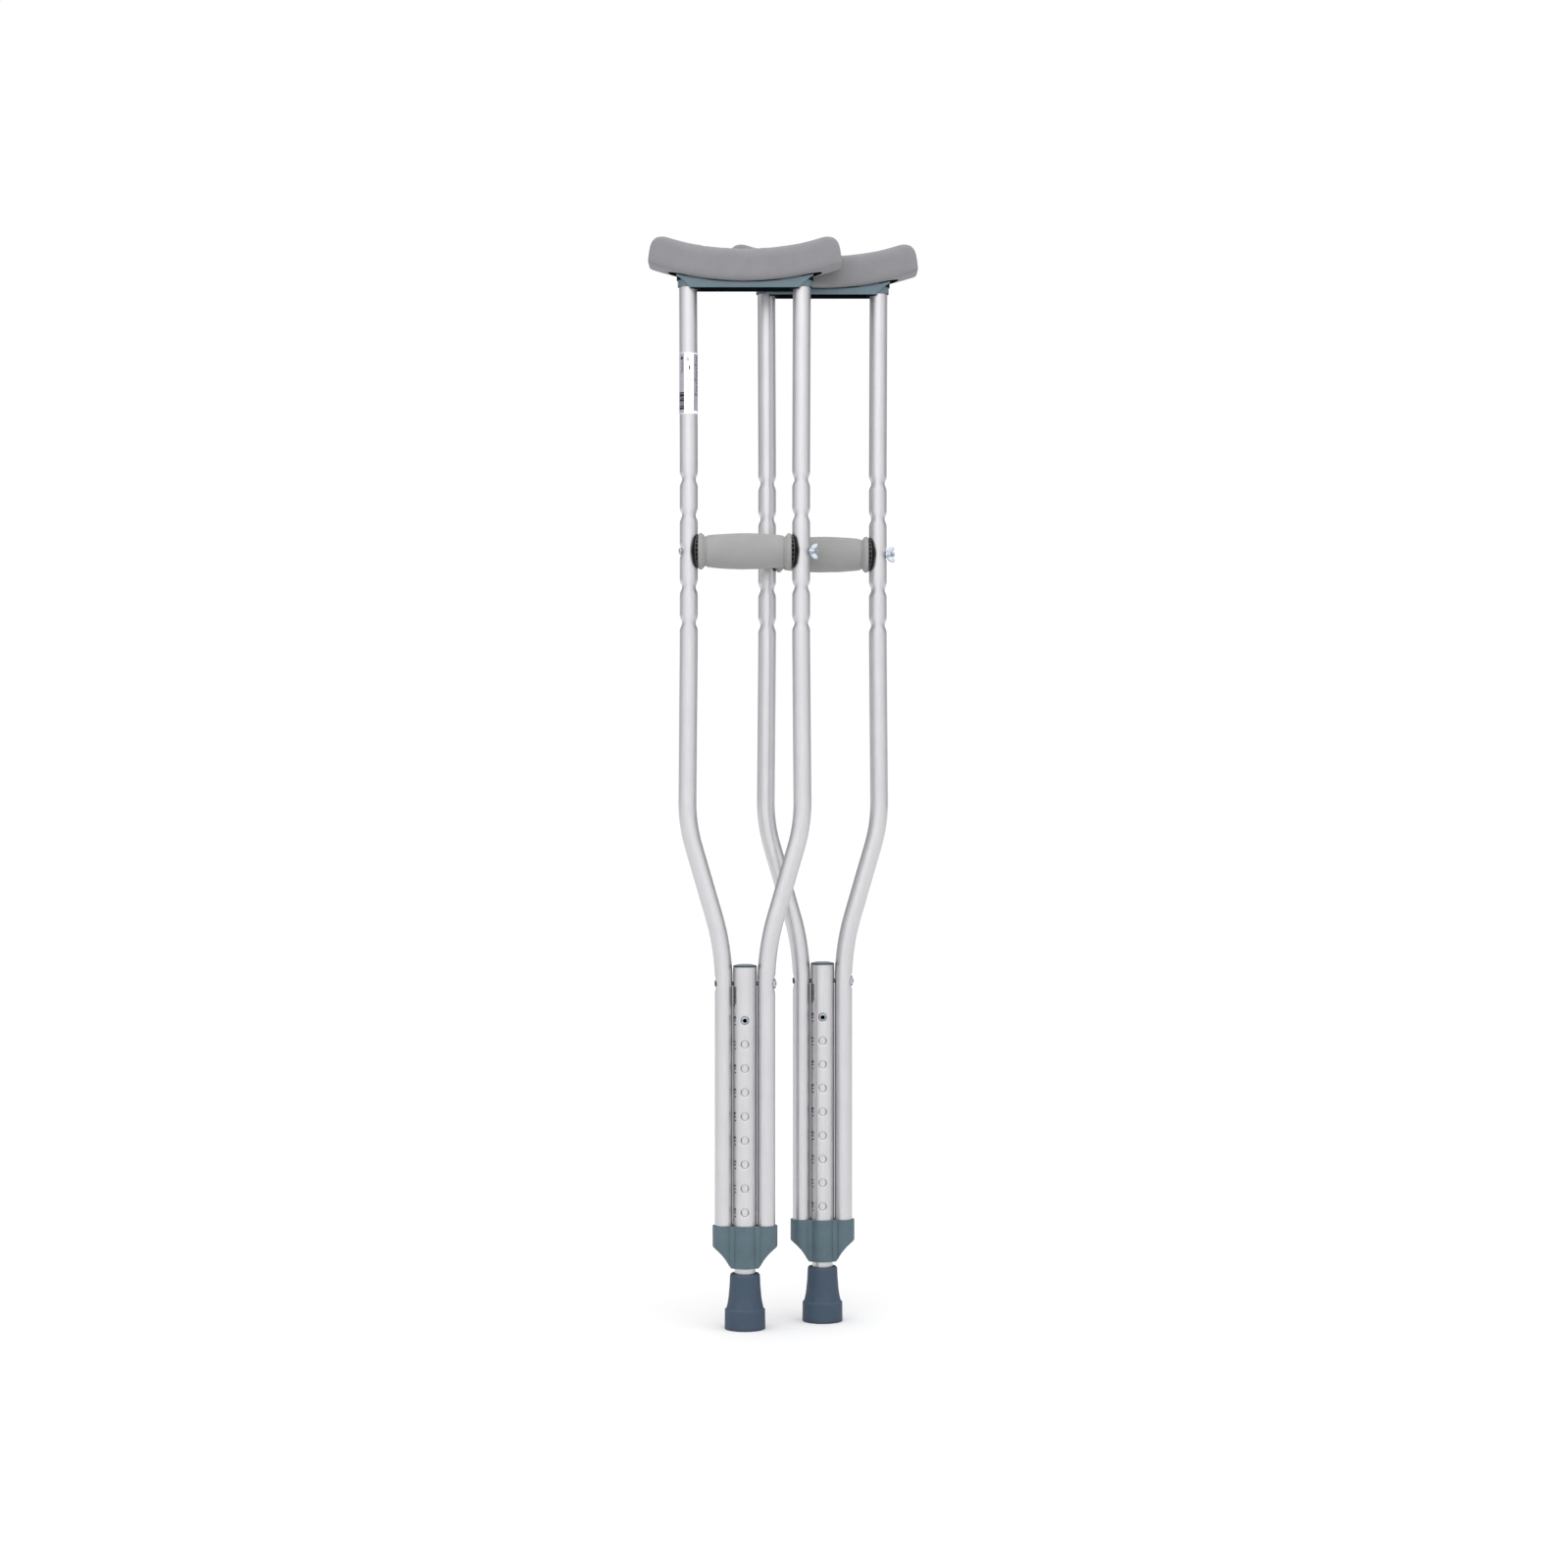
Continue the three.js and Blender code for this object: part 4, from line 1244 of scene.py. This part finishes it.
def underarm_pad():
    blank = to_mesh(pad_blank(PAD_SHRINK))
    skin = snapped(remeshed(blank.copy(), 2.6), blank)
    skin = inflated(skin, 4, 20, PAD_SWELL)
    skin = modified(skin, ("SUBSURF", {"levels": 1}), smoothing(5))
    longer = SLOT_HALF - UPRIGHT_X_TOP - CORE_HALF_DEPTH - 0.4
    slot = [(x + math.copysign(longer, x), y) for x, y in core_plan(0.4)]
    return combined(skin, [prism(slot, BELOW_PAD, SADDLE_HIGH.z + 0.4)])


def in_pad_slot(at, normal):
    return abs(at.y) < CORE_HALF_DEPTH + 0.6 and abs(at.x) < SLOT_HALF + 0.2 and (
        abs(normal.z) < 0.5 or pad_bottom_z(at.x) + 2 < at.z < SADDLE_HIGH.z + 1)


place(underarm_saddle(), "saddle_moulding", "frame", "teal_plastic", TEAL, ["underarm_saddle"],
      sharp=30, inside=(TEAL_DEEP, in_saddle_shade))
place(underarm_pad(), "pad_cushion", "frame", "pad_foam", PAD_COVER, ["underarm_pad"],
      sharp=60, fill=0.85, inside=(BLACK_DEEP, in_pad_slot))


# --- printing on the tubes
def wrapped(shape, axis_x, radius):
    """Bends a flat shape round an upright tube: x becomes the way round from the front, y the
    height, and z the height above the tube's skin."""
    def wrap(x, y, z):
        turn = -math.pi / 2 + x / radius
        return axis_x + (radius + z) * math.cos(turn), (radius + z) * math.sin(turn), y
    return moved(shape, wrap)


INK_LOW, INK_HIGH = 0.02, 0.07


def band(columns, bottoms, tops, low, high):
    """A thin block whose lower and upper edges run through the columns, so that it can wrap."""
    outline = list(zip(columns, tops)) + list(zip(reversed(columns), reversed(bottoms)))
    ring, count = len(outline), len(columns)
    faces = [(level + n, level + n + 1, level + ring - n - 2, level + ring - n - 1)
             for level in (0, ring) for n in range(count - 1)]
    faces += bridge(range(ring), range(ring, 2 * ring))
    return [(a, b, c) for c in (low, high) for a, b in outline], faces


def mark(x, y, low=INK_LOW, high=INK_HIGH):
    """A printed block between two x and two y positions."""
    columns = spread(x[0], x[1], int(abs(x[1] - x[0]) / 0.6) + 2)
    count = len(columns)
    return band(columns, [y[0]] * count, [y[1]] * count, low, high)


def spot(x, y, wide, tall, low, high):
    rounds = [(x + wide / 2 * c, tall / 2 * math.sqrt(1 - c * c)) for c in spread(-0.99, 0.99, 15)]
    columns = [across for across, half in rounds]
    return band(columns, [y - half for across, half in rounds], [y + half for across, half in rounds],
                low, high)


def numeral(text, size):
    """A number as a flat shape, read from below upwards, centred on its own middle and cut into
    narrow bands so that it can wrap."""
    curve = bpy.data.curves.new("numeral", "FONT")
    curve.body = text
    curve.size = size
    curve.align_x = "CENTER"
    curve.align_y = "CENTER"
    curve.extrude = (INK_HIGH - INK_LOW) / 2
    curve.offset = NUMBER_BOLD
    middle = (INK_HIGH + INK_LOW) / 2
    edit = bmesh.new()
    edit.from_mesh(applied(with_object(curve)))
    bmesh.ops.remove_doubles(edit, verts=edit.verts, dist=0.001)
    for y in spread(-size / 2, size / 2, 15):
        everything = edit.verts[:] + edit.edges[:] + edit.faces[:]
        bmesh.ops.bisect_plane(edit, geom=everything, plane_co=(0, y, 0), plane_no=(0, 1, 0))
    edit.verts.index_update()
    verts = [(-v.co.y, v.co.x, v.co.z + middle) for v in edit.verts]
    faces = [tuple(v.index for v in face.verts) for face in edit.faces]
    edit.free()
    return verts, faces


HEIGHT_MARK_X = -12.6
NUMBER_SIZE = 6.8
NUMBER_BOLD = 0.13
TOP_NUMBER = 18


def height_numbers():
    """A number and a tick beside each height hole, and three broken lines above them."""
    shapes = []
    for n, z in enumerate(HOLE_ZS):
        number = numeral(str(TOP_NUMBER - n), NUMBER_SIZE)
        shapes.append(shifted(number, HEIGHT_MARK_X, z + 1.0))
        shapes.append(mark((HEIGHT_MARK_X - 0.6, HEIGHT_MARK_X + 2.2), (z - 5.1, z - 4.0)))
    for column in range(3):
        x = HEIGHT_MARK_X - 2.9 + 2.0 * column
        z = FRAME_BOLT_Z - 3.2
        n = column
        while z > FRAME_BOLT_Z - 25 + 2 * column:
            length = 1.1 + 0.55 * ((n * 7 + column) % 5)
            shapes.append(mark((x, x + 1.3), (z - length, z)))
            z -= length + 0.4
            n += 1
    return wrapped(joined(*shapes), 0, CENTRE_R)


place(height_numbers(), "height_numbers", "frame", "black_plastic", INK)


# --- size label
LABEL_LOW, LABEL_HIGH = extent("size_label")
LABEL_X = -upright_x((LABEL_LOW.z + LABEL_HIGH.z) / 2)
LABEL_TURN = math.radians(150)
FILM = 0.14


def label_sheet():
    reach = UPRIGHT_R * LABEL_TURN
    return [mark((-reach, reach), (LABEL_LOW.z, LABEL_HIGH.z), 0.02, FILM)]


def label_shade():
    """The grey strips beside the label's white front, one on each side: partly the film's own tint,
    partly painted shade where the label turns round the tube.
    """
    low, high = FILM + 0.005, FILM + 0.03
    return [mark((-16, -4.6), (LABEL_LOW.z + 0.6, LABEL_HIGH.z - 0.4), low, high),
            mark((6.0, 17), (LABEL_LOW.z + 3, LABEL_HIGH.z - 1.2), low, high)]


BARS = ((4.4, 2.3), (7.1, 1.2), (13.0, 1.9), (15.2, 1.2), (17.9, 3.0), (21.4, 1.4))
PALE_BARS = ((8.4, 4.4), (16.5, 1.3))
BOX_X = (-0.9, 2.7)
BOX_Z = (7.6, 13.3)
BOX_LINE = 0.3
PRINT_LOW, PRINT_HIGH = FILM + 0.035, FILM + 0.06


def printed(x, z):
    return mark(x, z, PRINT_LOW, PRINT_HIGH)


def printed_bars(bars):
    low = LABEL_LOW.z
    return [printed((-13, -4.4), (low + z, low + z + size)) for z, size in bars]


def printed_spot(x, z, wide, tall):
    return spot(x, z, wide, tall, PRINT_LOW, PRINT_HIGH)


def dark_marks():
    """A dot, an oval and a stack of bars."""
    top = LABEL_HIGH.z
    dot = printed_spot(-7.4, top - 5.7, 3.2, 3.6)
    return printed_bars(BARS) + [dot, printed_spot(1.3, top - 16, 1.5, 4.8)]


def faint_marks():
    """The bars between the dark ones, an upright bar and a row of blocks at the right."""
    top = LABEL_HIGH.z
    shapes = printed_bars(PALE_BARS)
    shapes.append(printed((-8.0, -6.2), (top - 21.2, top - 8.4)))
    for n in range(11):
        z = top - 3.5 - n * 3.9
        inner = 8.8 - 1.7 * (n % 4 == 2)
        shapes.append(printed((inner, 13.5), (z - 3.1 + 0.6 * (n % 2), z)))
    return shapes


def pale_marks():
    """A triangle, two specks and a box with a dot in it, in pale grey."""
    top, bottom = LABEL_HIGH.z, LABEL_LOW.z
    shapes = [printed_spot(-0.9 + 3.7 * n, top - 28.2 - n, 2.1, 1.1) for n in range(2)]
    shapes.append(printed_spot(1.0, bottom + 9.2, 1.4, 1.1))
    columns = spread(-2.9, 1.9, 9)
    slopes = [top - 4.2 - 1.7 * abs(x + 0.5) for x in columns]
    shapes.append(band(columns, [top - 8.6] * 9, slopes, PRINT_LOW, PRINT_HIGH))
    (x0, x1), (z0, z1) = BOX_X, (bottom + BOX_Z[0], bottom + BOX_Z[1])
    for z in (z0, z1 - BOX_LINE):
        shapes.append(printed(BOX_X, (z, z + BOX_LINE)))
    for x in (x0, x1 - BOX_LINE):
        shapes.append(printed((x, x + BOX_LINE), (z0, z1)))
    return shapes


def on_label_tube(shapes):
    return wrapped(joined(*shapes), LABEL_X, UPRIGHT_R)


only_near = ("near",)
place(on_label_tube(label_sheet()), "label_sheet", "frame", "label_film", WHITE_FILM,
      ["size_label"], only_near)
place(on_label_tube(label_shade()), "tinted_and_shaded_label_strips", "frame", "label_film", GREY_FILM_AND_SHADE, (), only_near)
for name, shapes, ink in (("label_marks", dark_marks(), INK),
                          ("label_faint_marks", faint_marks(), FAINT_INK),
                          ("label_pale_marks", pale_marks(), PALE_INK)):
    place(on_label_tube(shapes), name, "frame", "black_plastic", ink, (), only_near)


# --- floor, light and camera
FLOOR_HALF = 40.0
FLOOR_TONE = (0.75, 0.75, 0.75, 1)
FLOOR_TONE_LOW = (0.73875, 0.73875, 0.73875, 1)
corners = [(-1, -1), (1, -1), (1, 1), (-1, 1)]
floor_mesh = bpy.data.meshes.new("floor")
floor_mesh.from_pydata([(x * FLOOR_HALF, y * FLOOR_HALF, 0) for x, y in corners], [], [(0, 1, 2, 3)])
paper = Finish("studio_floor_paper", {"Roughness": 0.9})
paper_tone = paper.between(paper.noise(3, 2), FLOOR_TONE, FLOOR_TONE_LOW)
paper.feed(paper.shader, {"Base Color": paper_tone})
floor_mesh.materials.append(paper.material)
with_object(floor_mesh, "studio_floor")


def studio_light(name, kind, power, where, settings):
    data = bpy.data.lights.new(name, kind)
    data.energy = power
    for setting, value in settings.items():
        setattr(data, setting, value)
    light = with_object(data, name)
    light.location = where
    return light


SOFTBOX_AT = Vector((-0.3, -3.5, 1.9))
SOFTBOX_AIM = Vector((0, 0, 0.8))
softbox = studio_light("front_softbox", "AREA", 9, SOFTBOX_AT,
                       {"shape": "RECTANGLE", "size": 4.4, "size_y": 1.8})
softbox.rotation_euler = (SOFTBOX_AIM - SOFTBOX_AT).to_track_quat("-Z", "Y").to_euler()
overhead = studio_light("overhead_sky", "SUN", 2.3, (0, 0, 3), {"angle": math.radians(120)})
overhead.rotation_euler = (math.radians(15), 0, 0)

# a studio that is bright in front of the object and dimmer beside and behind it; straight
# through the camera it is one plain pale tone
BACKDROP = 1.02
DIMMEST, BRIGHTEST = 0.45, 1.02
DIM_BELOW, BRIGHT_ABOVE = -0.25, 0.52  # how squarely a direction faces the bright side
BRIGHT_SIDE = Vector((-0.02, -0.95, 0.25)).normalized()
world = bpy.data.worlds.new("studio")
world.use_nodes = True
bpy.context.scene.world = world
sky = Nodes(world.node_tree)
direction = sky.add("TexCoord", "Generated")
toward_front = sky.add("VectorMath", "Value", {0: direction, 1: BRIGHT_SIDE},
                       operation="DOT_PRODUCT")
gradient = sky.add("MapRange", "Result", {
    "Value": toward_front, "From Min": DIM_BELOW, "From Max": BRIGHT_ABOVE, "To Min": DIMMEST,
    "To Max": BRIGHTEST}, interpolation_type="SMOOTHSTEP")
in_camera = sky.add("LightPath", "Is Camera Ray")
strength = sky.add("Mix", "Result", {"Factor": in_camera, "A": gradient, "B": BACKDROP})
sky.feed(sky.tree.nodes["Background"], {"Color": (0.985, 0.985, 1, 1), "Strength": strength})
bpy.context.scene.view_settings.view_transform = "Standard"

SENSOR = 36.0
VIEW_DISTANCE = 3.195  # from the camera to the near crutch's plane
VIEW_WIDTH = 1.664  # seen across that plane
EYE_Z = 0.5778
camera_data = bpy.data.cameras.new("camera")
camera_data.sensor_width = SENSOR
camera_data.lens = SENSOR * VIEW_DISTANCE / VIEW_WIDTH
camera_data.clip_end = 50
camera = with_object(camera_data, "camera")
camera.location = (0, AXES["near"].y - VIEW_DISTANCE, EYE_Z)
camera.rotation_euler = (math.pi / 2, 0, 0)
bpy.context.scene.camera = camera
